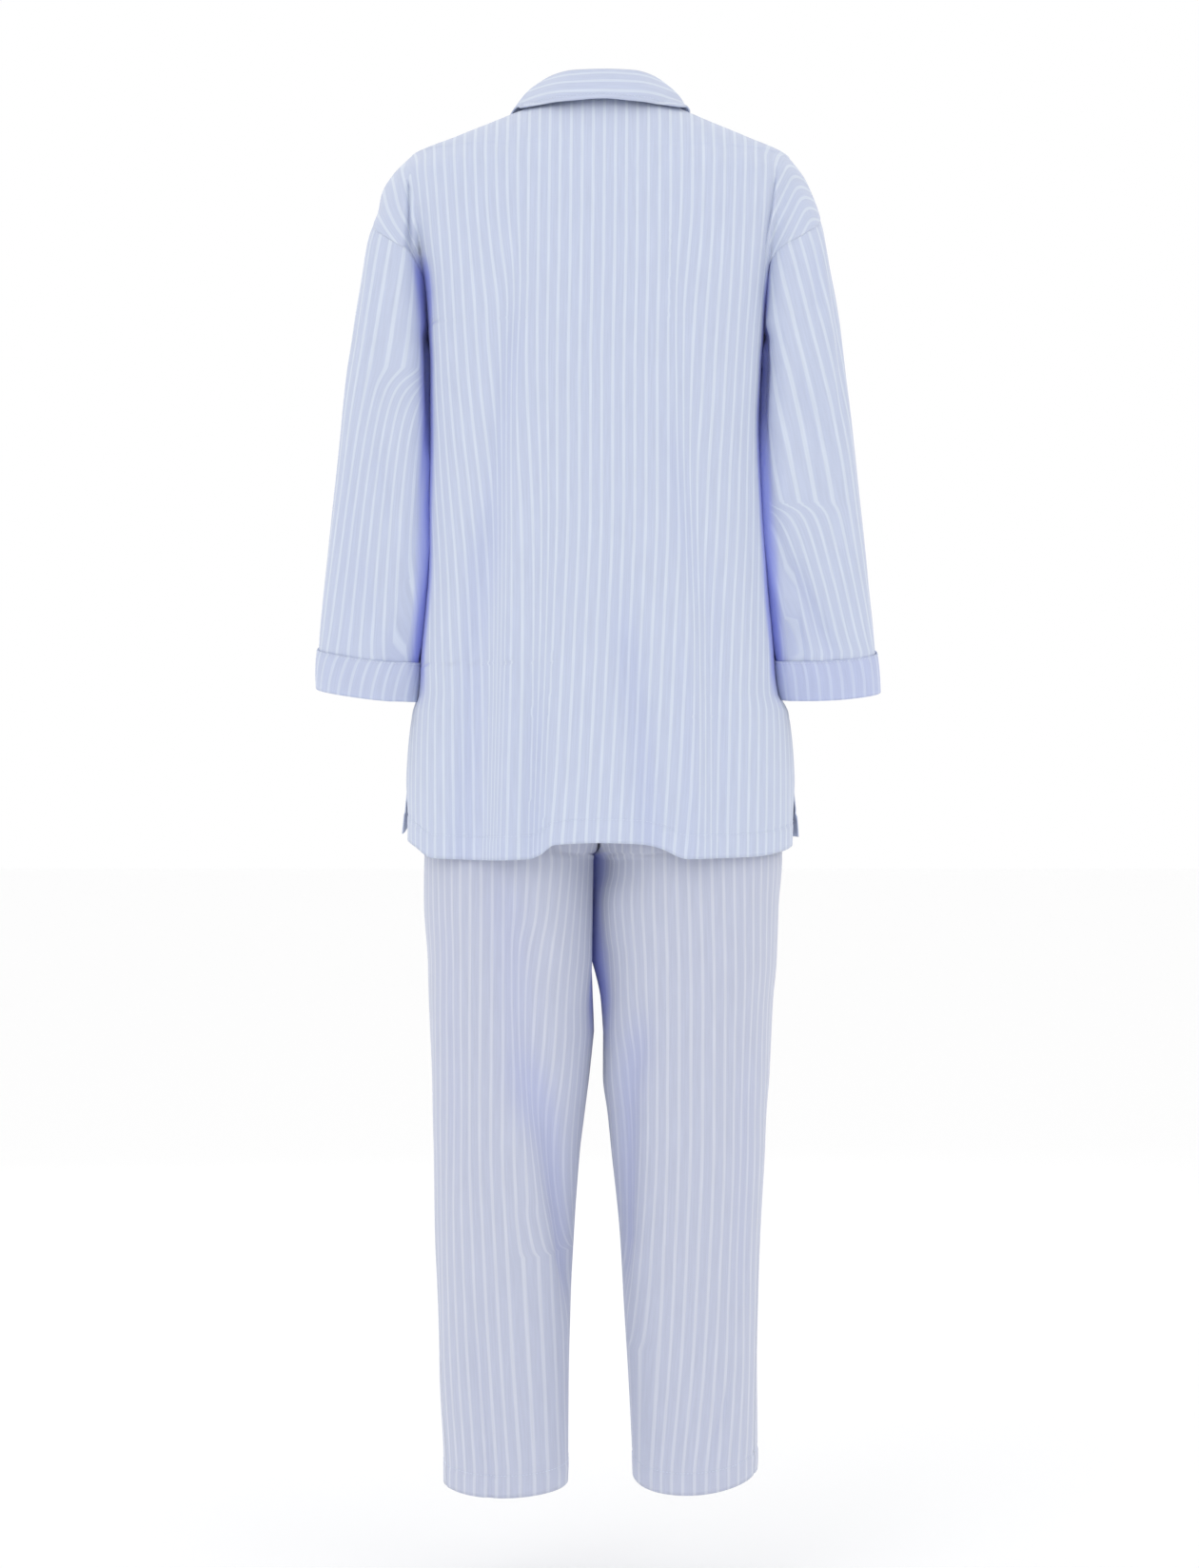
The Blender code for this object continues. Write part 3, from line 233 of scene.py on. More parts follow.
# ------------------------------------------------------------------ sizes of the trousers
LEGS = (
    ("z", "outer_left", "inner_left", "outer_right", "inner_right", "middle", "half_depth", "square"),
    (-0.4500, 0.1420, -0.1420, 0.1420, -0.1420, 0.002, 0.096, 2.1),
    (-0.4800, 0.1480, -0.1450, 0.1480, -0.1450, 0.002, 0.099, 2.1),
    (-0.5616, 0.1590, -0.1300, 0.1600, -0.1300, 0.003, 0.104, 2.2),
    (-0.6300, 0.1660, -0.1000, 0.1690, -0.1000, 0.004, 0.107, 2.25),
    (-0.6900, 0.1705, -0.0500, 0.1750, -0.0500, 0.003, 0.108, 2.3),
    (-0.7250, 0.1735, -0.0180, 0.1800, -0.0180, 0.002, 0.108, 2.3),
    (-0.7450, 0.1745, -0.0040, 0.1825, -0.0040, 0.001, 0.108, 2.3),
    (-0.7550, 0.1750, 0.0013, 0.1835, 0.0013, 0.001, 0.107, 2.3),
    (-0.8016, 0.1757, 0.0013, 0.1800, 0.0013, 0.000, 0.105, 2.3),
    (-0.8600, 0.1725, 0.0013, 0.1780, 0.0013, -0.002, 0.101, 2.3),
    (-0.8976, 0.1718, 0.0034, 0.1747, 0.0040, -0.004, 0.099, 2.3),
    (-0.9744, 0.1685, 0.0106, 0.1712, 0.0038, -0.008, 0.092, 2.3),
    (-1.0128, 0.1680, 0.0154, 0.1680, 0.0086, -0.010, 0.089, 2.3),
    (-1.0512, 0.1670, 0.0202, 0.1661, 0.0125, -0.011, 0.086, 2.3),
    (-1.1280, 0.1661, 0.0259, 0.1622, 0.0202, -0.011, 0.080, 2.25),
    (-1.2048, 0.1632, 0.0298, 0.1603, 0.0250, -0.008, 0.074, 2.2),
    (-1.2816, 0.1613, 0.0317, 0.1590, 0.0298, -0.004, 0.068, 2.2),
    (-1.3584, 0.1568, 0.0322, 0.1584, 0.0336, 0.000, 0.062, 2.2),
    (-1.4000, 0.1560, 0.0340, 0.1550, 0.0352, 0.001, 0.060, 2.2),
)
# How far each leg's cloth is pushed to the wearer's left between the legs, behind and in front.
LEGS_PART = (
    ("z", "left_back", "left_front", "right_back", "right_front"),
    (-0.7300, 0.0000, 0.0000, 0.0000, 0.0000),
    (-0.7470, 0.0010, 0.0100, 0.0008, 0.0098),
    (-0.7560, 0.0010, 0.0102, -0.0040, 0.0115),
    (-0.7700, 0.0010, 0.0102, -0.0030, 0.0115),
    (-0.7850, 0.0010, 0.0102, 0.0010, 0.0115),
    (-0.8000, 0.0010, 0.0102, 0.0030, 0.0115),
    (-0.8300, 0.0010, 0.0100, 0.0010, 0.0112),
    (-0.8500, 0.0010, 0.0092, -0.0020, 0.0104),
    (-0.8700, 0.0020, 0.0070, -0.0030, 0.0060),
    (-0.8976, 0.0028, 0.0040, -0.0020, 0.0025),
    (-0.9300, 0.0000, 0.0000, 0.0000, 0.0000),
)
LEG_END = {LEFT: (-1.3835, -1.3885, -1.3800), RIGHT: (-1.3715, -1.3862, -1.3745)}
LEG_HEM_DEEP = 0.022
OUTSEAM = {"top": 92.0, "end": 68.0}
WAIST = -0.450
WAISTBAND_WIDTH = 0.032
LEG_FOLDS = {
    LEFT: (
        ("round_top", "z_top", "round_end", "z_end", "half_width", "depth", "fade"),
        (0.24, -0.740, 0.27, -1.000, 0.045, 0.0060, 0.10),
        (0.28, -0.950, 0.44, -1.180, 0.045, 0.0110, 0.09),
        (0.13, -0.760, 0.12, -1.050, 0.040, 0.0040, 0.14),
        (0.72, -0.760, 0.60, -1.000, 0.050, 0.0060, 0.10),
        (0.78, -1.050, 0.72, -1.350, 0.050, 0.0050, 0.12),
        (0.155, -1.210, 0.175, -1.395, 0.012, 0.0030, 0.06),
        (0.82, -1.180, 0.85, -1.395, 0.014, 0.0030, 0.07),
    ),
    RIGHT: (
        ("round_top", "z_top", "round_end", "z_end", "half_width", "depth", "fade"),
        (0.34, -0.900, 0.44, -1.160, 0.045, 0.0110, 0.09),
        (0.12, -0.900, 0.10, -1.200, 0.045, 0.0040, 0.14),
        (0.70, -0.770, 0.60, -1.010, 0.050, 0.0060, 0.10),
        (0.76, -1.040, 0.72, -1.350, 0.050, 0.0050, 0.12),
        (0.115, -1.270, 0.165, -1.335, 0.012, 0.0032, 0.04),
        (0.84, -1.200, 0.86, -1.395, 0.014, 0.0030, 0.07),
    ),
}

# ------------------------------------------------------------------ the lie of the stripes
# A white stripe stands at each whole PERIOD of cloth. Worn cloth stands in small waves, so the stripes
# stand CROWDED. `lean` is where the counted stripe 0 runs, level by level. Each fold has its place, and
# the cloth that it takes up between two counted stripes, which the FOLD_COUNTS name.
PERIOD = 0.0115
CROWDED = 0.94
FOLD_WIDTH = 0.026
BACK_STRIPES = (
    ("z", "lean", "left", "left_taken", "low", "low_taken", "right", "right_taken"),
    (-0.03, -0.005, 0.079, 0.000, 0.053, 0.002, -0.072, 0.001),
    (-0.16, -0.004, 0.079, 0.011, 0.053, 0.002, -0.072, 0.005),
    (-0.28, -0.002, 0.088, 0.019, 0.053, 0.003, -0.078, 0.010),
    (-0.40, -0.002, 0.094, 0.026, 0.053, 0.008, -0.086, 0.016),
    (-0.54, 0.003, 0.098, 0.034, 0.055, 0.015, -0.098, 0.018),
    (-0.74, 0.013, 0.104, 0.043, 0.062, 0.021, -0.106, 0.014),
)
BACK_FOLD_COUNTS = {"left": (7, 15), "low": (4, 7), "right": (-6, -13)}
LEG_STRIPES = {
    LEFT: (
        ("z", "lean", "knee", "knee_taken"),
        (-0.76, 0.094, 0.088, 0.002),
        (-0.90, 0.095, 0.080, 0.013),
        (-1.03, 0.096, 0.064, 0.018),
        (-1.14, 0.092, 0.048, 0.012),
        (-1.24, 0.087, 0.034, 0.002),
        (-1.36, 0.079, 0.020, -0.004),
    ),
    RIGHT: (
        ("z", "lean", "knee", "knee_taken"),
        (-0.76, 0.064, 0.052, 0.000),
        (-0.90, 0.067, 0.056, 0.001),
        (-1.03, 0.067, 0.056, 0.004),
        (-1.14, 0.064, 0.050, 0.002),
        (-1.24, 0.060, 0.044, 0.000),
        (-1.36, 0.052, 0.036, -0.002),
    ),
}
LEG_FOLD_COUNTS = {LEFT: {"knee": (0, -7)}, RIGHT: {"knee": (0, -3)}}
# How far out two counted stripes of each sleeve run. Those between stand evenly.
SLEEVE_STRIPES = {
    LEFT: (
        ("z", "outer", "inner"),
        (-0.12, 0.201, 0.150),
        (-0.25, 0.222, 0.169),
        (-0.38, 0.246, 0.185),
        (-0.55, 0.271, 0.194),
    ),
    RIGHT: (
        ("z", "outer", "inner"),
        (-0.11, 0.176, 0.118),
        (-0.22, 0.205, 0.138),
        (-0.33, 0.233, 0.152),
        (-0.44, 0.252, 0.174),
        (-0.55, 0.273, 0.201),
    ),
}
SLEEVE_COUNTS = {LEFT: (2, 9), RIGHT: (8, 0)}
# How far out the back's cloth tucks in where the arm begins, how deep, and how far the tuck spreads inwards.
ARM_CREASE = (
    ("z", "left", "right", "left_deep", "right_deep", "left_spread", "right_spread"),
    (-0.0600, 0.1880, 0.1760, 0.0000, 0.0000, 0.0020, 0.0040),
    (-0.0800, 0.1880, 0.1745, 0.0000, 0.0030, 0.0020, 0.0040),
    (-0.0900, 0.1875, 0.1730, 0.0050, 0.0060, 0.0022, 0.0050),
    (-0.1200, 0.1870, 0.1690, 0.0075, 0.0070, 0.0028, 0.0060),
    (-0.1550, 0.1865, 0.1645, 0.0110, 0.0045, 0.0060, 0.0050),
    (-0.1900, 0.1830, 0.1640, 0.0080, 0.0020, 0.0080, 0.0040),
    (-0.2300, 0.1780, 0.1640, 0.0000, 0.0000, 0.0080, 0.0040),
)
CUFF_SHIFT = {LEFT: 0.004, RIGHT: -0.003}
CUFF_LEAN = {LEFT: -0.32, RIGHT: -0.10}

CAMERA_DISTANCE = 3.5
CAMERA_HEIGHT = -0.6806
VIEW_HEIGHT = 1.582
SENSOR = 36.0
FLOOR = -1.50


# ------------------------------------------------------------------ small helpers
def ease(share):
    """0 to 1, level at both ends."""
    share = np.clip(share, 0.0, 1.0)
    return share * share * (3.0 - 2.0 * share)


def curve(table, name, at):
    """The named column of a table at `at` (its first column), smoothly between the rows."""
    rows = sorted(table[1:])
    xs = np.array([row[0] for row in rows])
    ys = np.array([row[table[0].index(name)] for row in rows])
    steps = np.diff(xs)
    slopes = np.diff(ys) / steps
    tangents = np.zeros_like(ys)
    same = slopes[:-1] * slopes[1:] > 0
    tangents[1:-1][same] = 2 * slopes[:-1][same] * slopes[1:][same] / (slopes[:-1] + slopes[1:])[same]
    tangents[0] = slopes[0]
    tangents[-1] = slopes[-1]
    at = np.clip(np.asarray(at, float), xs[0], xs[-1])
    i = np.clip(np.searchsorted(xs, at, side="right") - 1, 0, len(xs) - 2)
    t = (at - xs[i]) / steps[i]
    return (
        ys[i] * (1 + 2 * t) * (1 - t) ** 2
        + tangents[i] * steps[i] * t * (1 - t) ** 2
        + ys[i + 1] * t * t * (3 - 2 * t)
        - tangents[i + 1] * steps[i] * t * t * (1 - t)
    )


def power(value, exponent):
    return np.sign(value) * np.abs(value) ** exponent


def lengths(points):
    """How far along the line each of its points lies."""
    return np.concatenate([[0.0], np.cumsum(np.linalg.norm(np.diff(points, axis=0), axis=1))])


def along(points, at):
    """Points at the given distances along a line."""
    run = lengths(points)
    return np.stack([np.interp(at, run, points[:, k]) for k in range(points.shape[1])], axis=1)


def across_rows(grid):
    """How far along its row each point of a grid lies."""
    steps = np.linalg.norm(np.diff(grid, axis=1), axis=2)
    return np.concatenate([np.zeros((grid.shape[0], 1)), np.cumsum(steps, axis=1)], axis=1)


def soften(points, reach):
    """The line with its corners rounded over `reach`, its end kept and its start on the middle plane."""
    step = 0.001
    run = lengths(points)[-1]
    count = max(int(run / step), 8)
    line = along(points, np.linspace(0.0, run, count))
    half = int(min(3 * reach / step, count - 2))
    if half < 1:
        return line
    before = line[half:0:-1] * (-1, 1, 1)
    after = 2 * line[-1] - line[-2 : -half - 2 : -1]
    padded = np.concatenate([before, line, after])
    kernel = np.exp(-0.5 * (np.arange(-half, half + 1) * step / reach) ** 2)
    kernel /= kernel.sum()
    return np.stack([np.convolve(padded[:, k], kernel, mode="valid") for k in range(line.shape[1])], axis=1)


def folded(folds, place, z):
    """How far inwards the folds of a table press at (place, z)."""
    total = np.zeros(np.broadcast(place, z).shape)
    for place_top, z_top, place_end, z_end, half_width, depth, fade in folds[1:]:
        share = np.clip((z - z_top) / (z_end - z_top), 0.0, 1.0)
        middle = place_top + (place_end - place_top) * share
        across = np.exp(-(((place - middle) / half_width) ** 2))
        down = ease((z_top - z) / fade + 0.3) * ease((z - z_end) / fade + 0.6)
        total += depth * across * down
    return total


def rumple(u, v, size_u, size_v, seed):
    """Soft uneven waves between -1 and 1, about size_u by size_v apart."""
    rng = np.random.default_rng(seed)
    lattice = rng.uniform(-1.0, 1.0, (64, 64))
    a = u / size_u + 31.3
    b = v / size_v + 29.7
    i = np.floor(a).astype(int)
    j = np.floor(b).astype(int)
    s = ease(a - i)
    t = ease(b - j)
    at = lambda p, q: lattice[p % 64, q % 64]
    upper = at(i, j) * (1 - s) + at(i + 1, j) * s
    lower = at(i, j + 1) * (1 - s) + at(i + 1, j + 1) * s
    return upper * (1 - t) + lower * t


# ------------------------------------------------------------------ the forms
def torso_at(z):
    names = ("half_width", "back", "front", "square", "shift")
    return {name: float(curve(TORSO, name, z)) for name in names}


def torso_line(z, side, start, end, count=260):
    """The body's outline at one level, from `start` to `end` degrees: 0 centre back, 180 centre front."""
    size = torso_at(z)
    angle = np.radians(np.linspace(start, end, count))
    depth = np.where(np.cos(angle) > 0, size["back"], size["front"])
    x = size["half_width"] * power(np.sin(angle), 2 / size["square"])
    y = depth * power(np.cos(angle), 2 / size["square"])
    return np.stack([side * x, y, np.full(count, z)], axis=1)


def torso_reach(points, z, clear=0.0):
    """Under 1 inside the body's outline at one level, over 1 outside it."""
    size = torso_at(z)
    depth = np.where(points[:, 1] > 0, size["back"], size["front"]) + clear
    wide = np.abs(points[:, 0]) / (size["half_width"] + clear)
    return (wide ** size["square"] + np.abs(points[:, 1] / depth) ** size["square"]) ** (1 / size["square"])


def shifted(points):
    """Points moved with the body's middle line."""
    moved = points.copy()
    moved[..., 0] += curve(TORSO, "shift", points[..., 2])
    return moved


def tube_shape(square, turn, count=480):
    angle = np.linspace(0.0, 2 * math.pi, count, endpoint=False)
    ex = power(np.cos(angle), 2 / square)
    ey = power(np.sin(angle), 2 / square)
    return ex, ey, math.radians(turn)


def arm_size(z, side):
    names = ("inner", "middle", "half_depth", "square", "turn")
    size = {name: float(curve(ARM, name, z)) for name in names}
    size["outer"] = float(curve(ARM, "outer_left" if side == LEFT else "outer_right", z))
    size["slant"] = float(curve(ARM, "slant_left" if side == LEFT else "slant_right", z))
    return size


def plain_ring(z, side, count=480):
    """The arm's outline at one level, closed, from the middle of its outer side round by the back."""
    size = arm_size(z, side)
    ex, ey, turn = tube_shape(size["square"], size["turn"], count)
    wide = (size["outer"] - size["inner"]) / 2
    x = ex * wide * math.cos(turn) + ey * size["half_depth"] * math.sin(turn)
    y = -ex * wide * math.sin(turn) + ey * size["half_depth"] * math.cos(turn)
    x = size["inner"] + (x - x.min()) / (x.max() - x.min()) * 2 * wide
    x = x + size["slant"] * np.clip(y / size["half_depth"], 0.0, 1.0) * (size["outer"] - x) / (2 * wide)
    ring = np.stack([side * x, y + size["middle"], np.full(count, z)], axis=1)
    return np.concatenate([ring, ring[:1]])


def ridge_share(z, side):
    """The share of the way round at which the ridge of the shoulder crosses the arm's ring."""
    size = arm_size(z, side)
    wide = (size["outer"] - size["inner"]) / 2
    steep = (size["half_depth"] * math.tan(math.radians(size["turn"])) / wide) ** (1 / (size["square"] - 1))
    angle = math.atan(steep ** (size["square"] / 2))
    run = lengths(plain_ring(z, side))
    return float(np.interp(angle / (2 * math.pi) * (len(run) - 1), np.arange(len(run)), run) / run[-1])


def arm_ring(z, side, count=480):
    """The arm's outline at one level, from the ridge of the shoulder round by the back, closed on itself."""
    ring = plain_ring(z, side, count)
    run = lengths(ring)[-1]
    return along(ring, (ridge_share(z, side) * run + np.linspace(0.0, run, count + 1)) % run)


def arm_reach(points, z, side):
    """Under 1 inside the arm's outline at one level."""
    size = arm_size(z, side)
    ex, ey, turn = tube_shape(size["square"], size["turn"])
    wide = (size["outer"] - size["inner"]) / 2
    spread = ex * wide * math.cos(turn) + ey * size["half_depth"] * math.sin(turn)
    x = side * points[:, 0]
    y = points[:, 1] - size["middle"]
    back = size["slant"] * np.clip(y / size["half_depth"], 0.0, 1.0) / (2 * wide)
    x = (x - back * size["outer"]) / (1 - back)
    x = spread.min() + (x - size["inner"]) / (2 * wide) * (spread.max() - spread.min())
    y = points[:, 1] - size["middle"]
    along_width = (x * math.cos(turn) - y * math.sin(turn)) / wide
    along_depth = (x * math.sin(turn) + y * math.cos(turn)) / size["half_depth"]
    square = size["square"]
    return (np.abs(along_width) ** square + np.abs(along_depth) ** square) ** (1 / square)


def armhole_meets(z, side):
    """The angles at which the body's outline runs into the arm, behind and before, or None."""
    line = torso_line(z, side, 0.0, 180.0, 721)
    inside = np.flatnonzero(arm_reach(line, z, side) < 1.0)
    if z > ARM_TOP or len(inside) == 0:
        return None
    return inside[0] * 0.25, inside[-1] * 0.25


def underarm(side):
    """The level at which the arm's tube comes free of the body, and the angle of that place."""
    upper, lower = -0.18, -0.36
    for _ in range(22):
        middle = (upper + lower) / 2
        if armhole_meets(middle, side) is None:
            lower = middle
        else:
            upper = middle
    meets = armhole_meets(upper, side)
    return upper, (meets[0] + meets[1]) / 2


UNDERARM = {side: underarm(side) for side in (LEFT, RIGHT)}


def seam_angle(z, side):
    """Where the side seam runs below the underarm."""
    level, angle = UNDERARM[side]
    return angle + (SIDE_SEAM - angle) * float(ease((level - z) / 0.20))


def cut_x(z, side):
    """How far out the body's cloth reaches over the arm at this level, by the armhole seam."""
    ridge = arm_size(ARMHOLE_TOP[side], side)["outer"]
    return ridge - (ARMHOLE_TOP[side] - z) / ARMHOLE_FALL[side]


def beyond_seam(arc, z, side):
    """Which points of an arc that starts on the ridge lie on the body's side of the armhole seam."""
    return (np.abs(arc[:, 0]) < cut_x(z, side)) | (lengths(arc) > SEAM_RUN * (ARMHOLE_TOP[side] - z))


def body_row(z, side, face):
    """The body's cloth at one level, from the middle to the armhole, shoulder or side seam."""
    centre = 0.0 if face == BACK else 180.0
    meets = armhole_meets(z, side)
    if meets is None:
        end = 90.0 if z > UNDERARM[side][0] else seam_angle(z, side)
        return torso_line(z, side, centre, end)
    level, angle = UNDERARM[side]
    end = meets[0] if face == BACK else meets[1]
    line = torso_line(z, side, centre, end + (angle - end) * float(1 - ease((z - level) / 0.045)))
    ring = arm_ring(z, side)
    half = len(ring) // 2
    arc = ring[: half + 90] if face == BACK else ring[::-1][: half + 90]
    outside = torso_reach(arc, z) >= 1.0
    stop = int(np.argmin(outside)) if not outside.all() else len(arc)
    arc = arc[:stop]
    if z < ARMHOLE_TOP[side] - 1e-6:
        arc = arc[beyond_seam(arc, z, side)]
    if len(arc) > 3:
        line = np.concatenate([line, arc[::-1]])
    reach = 0.0022 + 0.010 * float(1 - ease((-0.060 - z) / 0.04))
    return soften(line, reach)


# ------------------------------------------------------------------ making cloth
def normals(grid, closed=False):
    """The grid's unit normals."""
    if closed:
        across = np.roll(grid, -1, axis=1) - np.roll(grid, 1, axis=1)
    else:
        across = np.gradient(grid, axis=1)
    down = np.gradient(grid, axis=0)
    normal = np.cross(across, down)
    return normal / np.maximum(np.linalg.norm(normal, axis=2, keepdims=True), 1e-12)


def outwards(grid, closed=False):
    """Unit normals that point away from the grid's own middle line."""
    normal = normals(grid, closed)
    if closed:
        away = grid - grid.mean(axis=1, keepdims=True)
    else:
        away = grid * (1.0, 1.0, 0.0)
    return normal if (normal * away).sum() > 0 else -normal


def face_corners(place, wide):
    """The values at the four corners of each face of a sheet, from those at its points."""
    left, right = slice(0, wide), slice(1, wide + 1)
    return np.stack([place[:-1, left], place[:-1, right], place[1:, right], place[1:, left]], axis=-2)


def sewn(name, grid, u, v, finish, thick=CLOTH_THICK, closed=False, painted_shade=None):
    """A grid of points as a sheet with thickness. u and v give the cloth's own measure of each point, and
    painted_shade how much painted shade its colour gets in folds, slits, cuffs and between the legs, 0 to 1."""
    rows, columns = grid.shape[:2]
    wide = columns if closed else columns - 1
    index = np.arange(rows * columns).reshape(rows, columns)
    a = index[:-1, :wide]
    b = np.roll(index, -1, axis=1)[:-1, :wide]
    c = np.roll(index, -1, axis=1)[1:, :wide]
    d = index[1:, :wide]
    faces = np.stack([a, b, c, d], axis=-1).reshape(-1, 4)
    corners = np.stack([grid[:-1, :wide], np.roll(grid, -1, axis=1)[:-1, :wide], grid[1:, :wide]])
    facing = np.cross(corners[1] - corners[0], corners[2] - corners[0])
    away = outwards(grid, closed)[:-1, :wide]
    if (facing * away).sum() < 0:
        faces = faces[:, ::-1]
        order = np.array([3, 2, 1, 0])
    else:
        order = np.arange(4)
    mesh = bpy.data.meshes.new(name)
    mesh.from_pydata(grid.reshape(-1, 3).tolist(), [], faces.tolist())
    cloth = mesh.uv_layers.new(name="cloth")
    cloth.data.foreach_set("uv", face_corners(np.stack([u, v], axis=-1), wide)[:, :, order].reshape(-1))
    # The painted shade of each point: how far its colour is deepened to blue, 0 to 1.
    doubled = np.zeros(u.shape) if painted_shade is None else painted_shade
    loops = face_corners(np.stack([doubled, doubled * 0.0], axis=-1), wide)
    mesh.uv_layers.new(name="painted_shade").data.foreach_set("uv", loops[:, :, order].reshape(-1))
    mesh.polygons.foreach_set("use_smooth", np.ones(len(faces), bool))
    mesh.update()
    made = bpy.data.objects.new(name, mesh)
    bpy.context.scene.collection.objects.link(made)
    mesh.materials.append(finish)
    shell = made.modifiers.new("thickness", "SOLIDIFY")
    shell.thickness = thick
    shell.offset = 0.0
    apply_modifiers(made)
    return made


def apply_modifiers(made):
    bpy.ops.object.select_all(action="DESELECT")
    bpy.context.view_layer.objects.active = made
    made.select_set(True)
    for modifier in list(made.modifiers):
        bpy.ops.object.modifier_apply(modifier=modifier.name)
    made.select_set(False)


def to_levels(grid, levels, wanted):
    """Each column of a grid moved to its own wanted levels."""
    out = np.empty(wanted.shape + (3,))
    order = np.argsort(levels)
    for c in range(grid.shape[1]):
        for k in range(3):
            out[:, c, k] = np.interp(wanted[:, c], levels[order], grid[order, c, k])
    return out


def edge_fade(grid, reach=0.016):
    """0 at a grid's first and last column and 1 further in."""
    run = across_rows(grid)
    return ease(run / reach) * ease((run[:, -1:] - run) / reach)


def seam_roll(grid, depth=0.0007, reach=0.0030):
    """How far the cloth turns in beside the seams at a grid's first and last column."""
    run = across_rows(grid)
    near = np.minimum(run, run[:, -1:] - run)
    return depth * (1 - ease(near / reach))


# ------------------------------------------------------------------ the lie of the threads
def lie_of_stripes(table, counts, z):
    """Where counted stripes run at one level, with their cloth measure, and where the folds lie."""
    at = {name: float(curve(table, name, z)) for name in table[0][1:]}
    lines = []
    for count in {0}.union(*counts.values()):
        taken = sum(
            math.copysign(at[fold + "_taken"], count)
            for fold, (_, beyond) in counts.items() if count * beyond > 0 and abs(count) >= abs(beyond)
        )
        lines.append((at["lean"] + count * CROWDED * PERIOD - taken, count * PERIOD))
    return sorted(lines), [at[fold] for fold in counts]


def thread_measure(row, run, z, lines, folds=(), seen=slice(None)):
    """The cloth's own measure across one row, from where known stripes and folds lie on its seen part."""
    order = np.argsort(row[seen][:, 0])
    xs = row[seen][order, 0]
    keep = np.concatenate([[True], np.diff(np.maximum.accumulate(xs)) > 1e-7])
    xs, ss = xs[keep], run[seen][order][keep]
    way = 1.0 if ss[-1] > ss[0] else -1.0
    at = lambda x: float(np.interp(x, xs, ss)) + way * (max(x - xs[-1], 0.0) + min(x - xs[0], 0.0))
    folds = [at(x) for x in folds]
    lines = sorted((at(x), u) for x, u in lines)
    sign = 1.0 if lines[-1][1] >= lines[0][1] else -1.0
    measure = np.zeros_like(run)
    first, last = lines[0], lines[-1]
    measure[run <= first[0]] = (first[1] + sign * (run - first[0]))[run <= first[0]]
    measure[run >= last[0]] = (last[1] + sign * (run - last[0]))[run >= last[0]]
    for (s0, u0), (s1, u1) in zip(lines[:-1], lines[1:]):
        inside = (run >= s0) & (run <= s1)
        spare = sign * (u1 - u0) - (s1 - s0)
        fold = next((f for f in folds if s0 < f < s1), None)
        hidden = spare * float(ease((spare - 0.002) / 0.006)) if fold is not None else 0.0
        hidden *= float(ease((-0.100 - z) / 0.12))
        stretch = (s1 - s0 + spare - hidden) / (s1 - s0)
        value = u0 + sign * (run - s0) * stretch
        if hidden > 0:
            value = value + sign * hidden * ease((run - fold) / FOLD_WIDTH + 0.5)
        measure[inside] = value[inside]
    return measure


def across_stripes(grid, run, table, counts):
    """The thread measure of a whole sheet, row by row."""
    measured = []
    for row, along_row in zip(grid, run):
        z = row[:, 2].mean()
        lines, folds = lie_of_stripes(table, counts, z)
        measured.append(thread_measure(row, along_row, z, lines, folds))
    return np.array(measured)


# ------------------------------------------------------------------ the top
def levels_of_top():
    """The levels of the body's rows, closest where the shoulder and the armhole turn."""
    spans = (
        (NECK_TOP, -0.0528, 48, 1), (-0.0528, -0.1120, 18, 1), (-0.1120, -0.1320, 24, 1),
        (-0.1320, ARMHOLE_END, 12, 1), (ARMHOLE_END, -0.2600, 24, 1), (-0.2600, BODY_END, 76, 1),
    )
    levels = [NECK_TOP]
    for start, end, count, closing in spans:
        levels.extend(start + (end - start) * (np.arange(1, count + 1) / count) ** closing)
    return np.array(levels)


TOP_LEVELS = levels_of_top()
HEM_ROWS = 22


def spaced(run, columns, dense_at):
    """Column places along a row, four times as close around one place."""
    fine = np.linspace(0.0, run, 400)
    weight = 1.0 + 3.0 * np.exp(-(((fine - dense_at) / 0.010) ** 2))
    filled = np.concatenate([[0.0], np.cumsum((weight[1:] + weight[:-1]) / 2)])
    return np.interp(np.linspace(0.0, filled[-1], columns), filled, fine)


def half_grid(side, face, columns, levels, first):
    """The rows of half a body panel. `first` gives how far from the middle each row starts."""
    rows = []
    for z in levels:
        line = body_row(z, side, face)
        start = first(z)
        if start > 0:
            line = line[np.abs(line[:, 0]) >= start]
        elif start < 0:
            line = np.concatenate([[[side * start, line[0, 1], z]], line])
        run = lengths(line)
        crease = float(np.interp(crease_x(z, side), np.maximum.accumulate(side * line[:, 0]), run))
        rows.append(along(line, spaced(run[-1] - SEAM_GAP, columns, crease)))
    return np.array(rows)


def deep_levels():
    return np.concatenate([TOP_LEVELS, np.linspace(BODY_END, -0.775, HEM_ROWS + 6)[1:]])


def with_hem(grid, levels, hem):
    """The grid's lowest rows drawn to the hem's line."""
    count = len(TOP_LEVELS)
    low = grid[count - 1 :]
    low_levels = np.concatenate([[BODY_END], levels[count:]])
    ends = curve(hem, "z", low[-1, :, 0])
    share = np.linspace(0.0, 1.0, HEM_ROWS + 1)[1:, None]
    wanted = BODY_END + (ends[None, :] - BODY_END) * share
    return np.concatenate([grid[:count], to_levels(low, low_levels, wanted)])


def hem_lift(grid, hem, deep, by=0.0006):
    """The doubled hem stands a little proud below its row of stitches."""
    above = grid[..., 2] - hem
    line = np.exp(-(((above - deep) / 0.0016) ** 2))
    return by * ease((deep - above) / 0.002 + 0.5) - 0.0009 * line


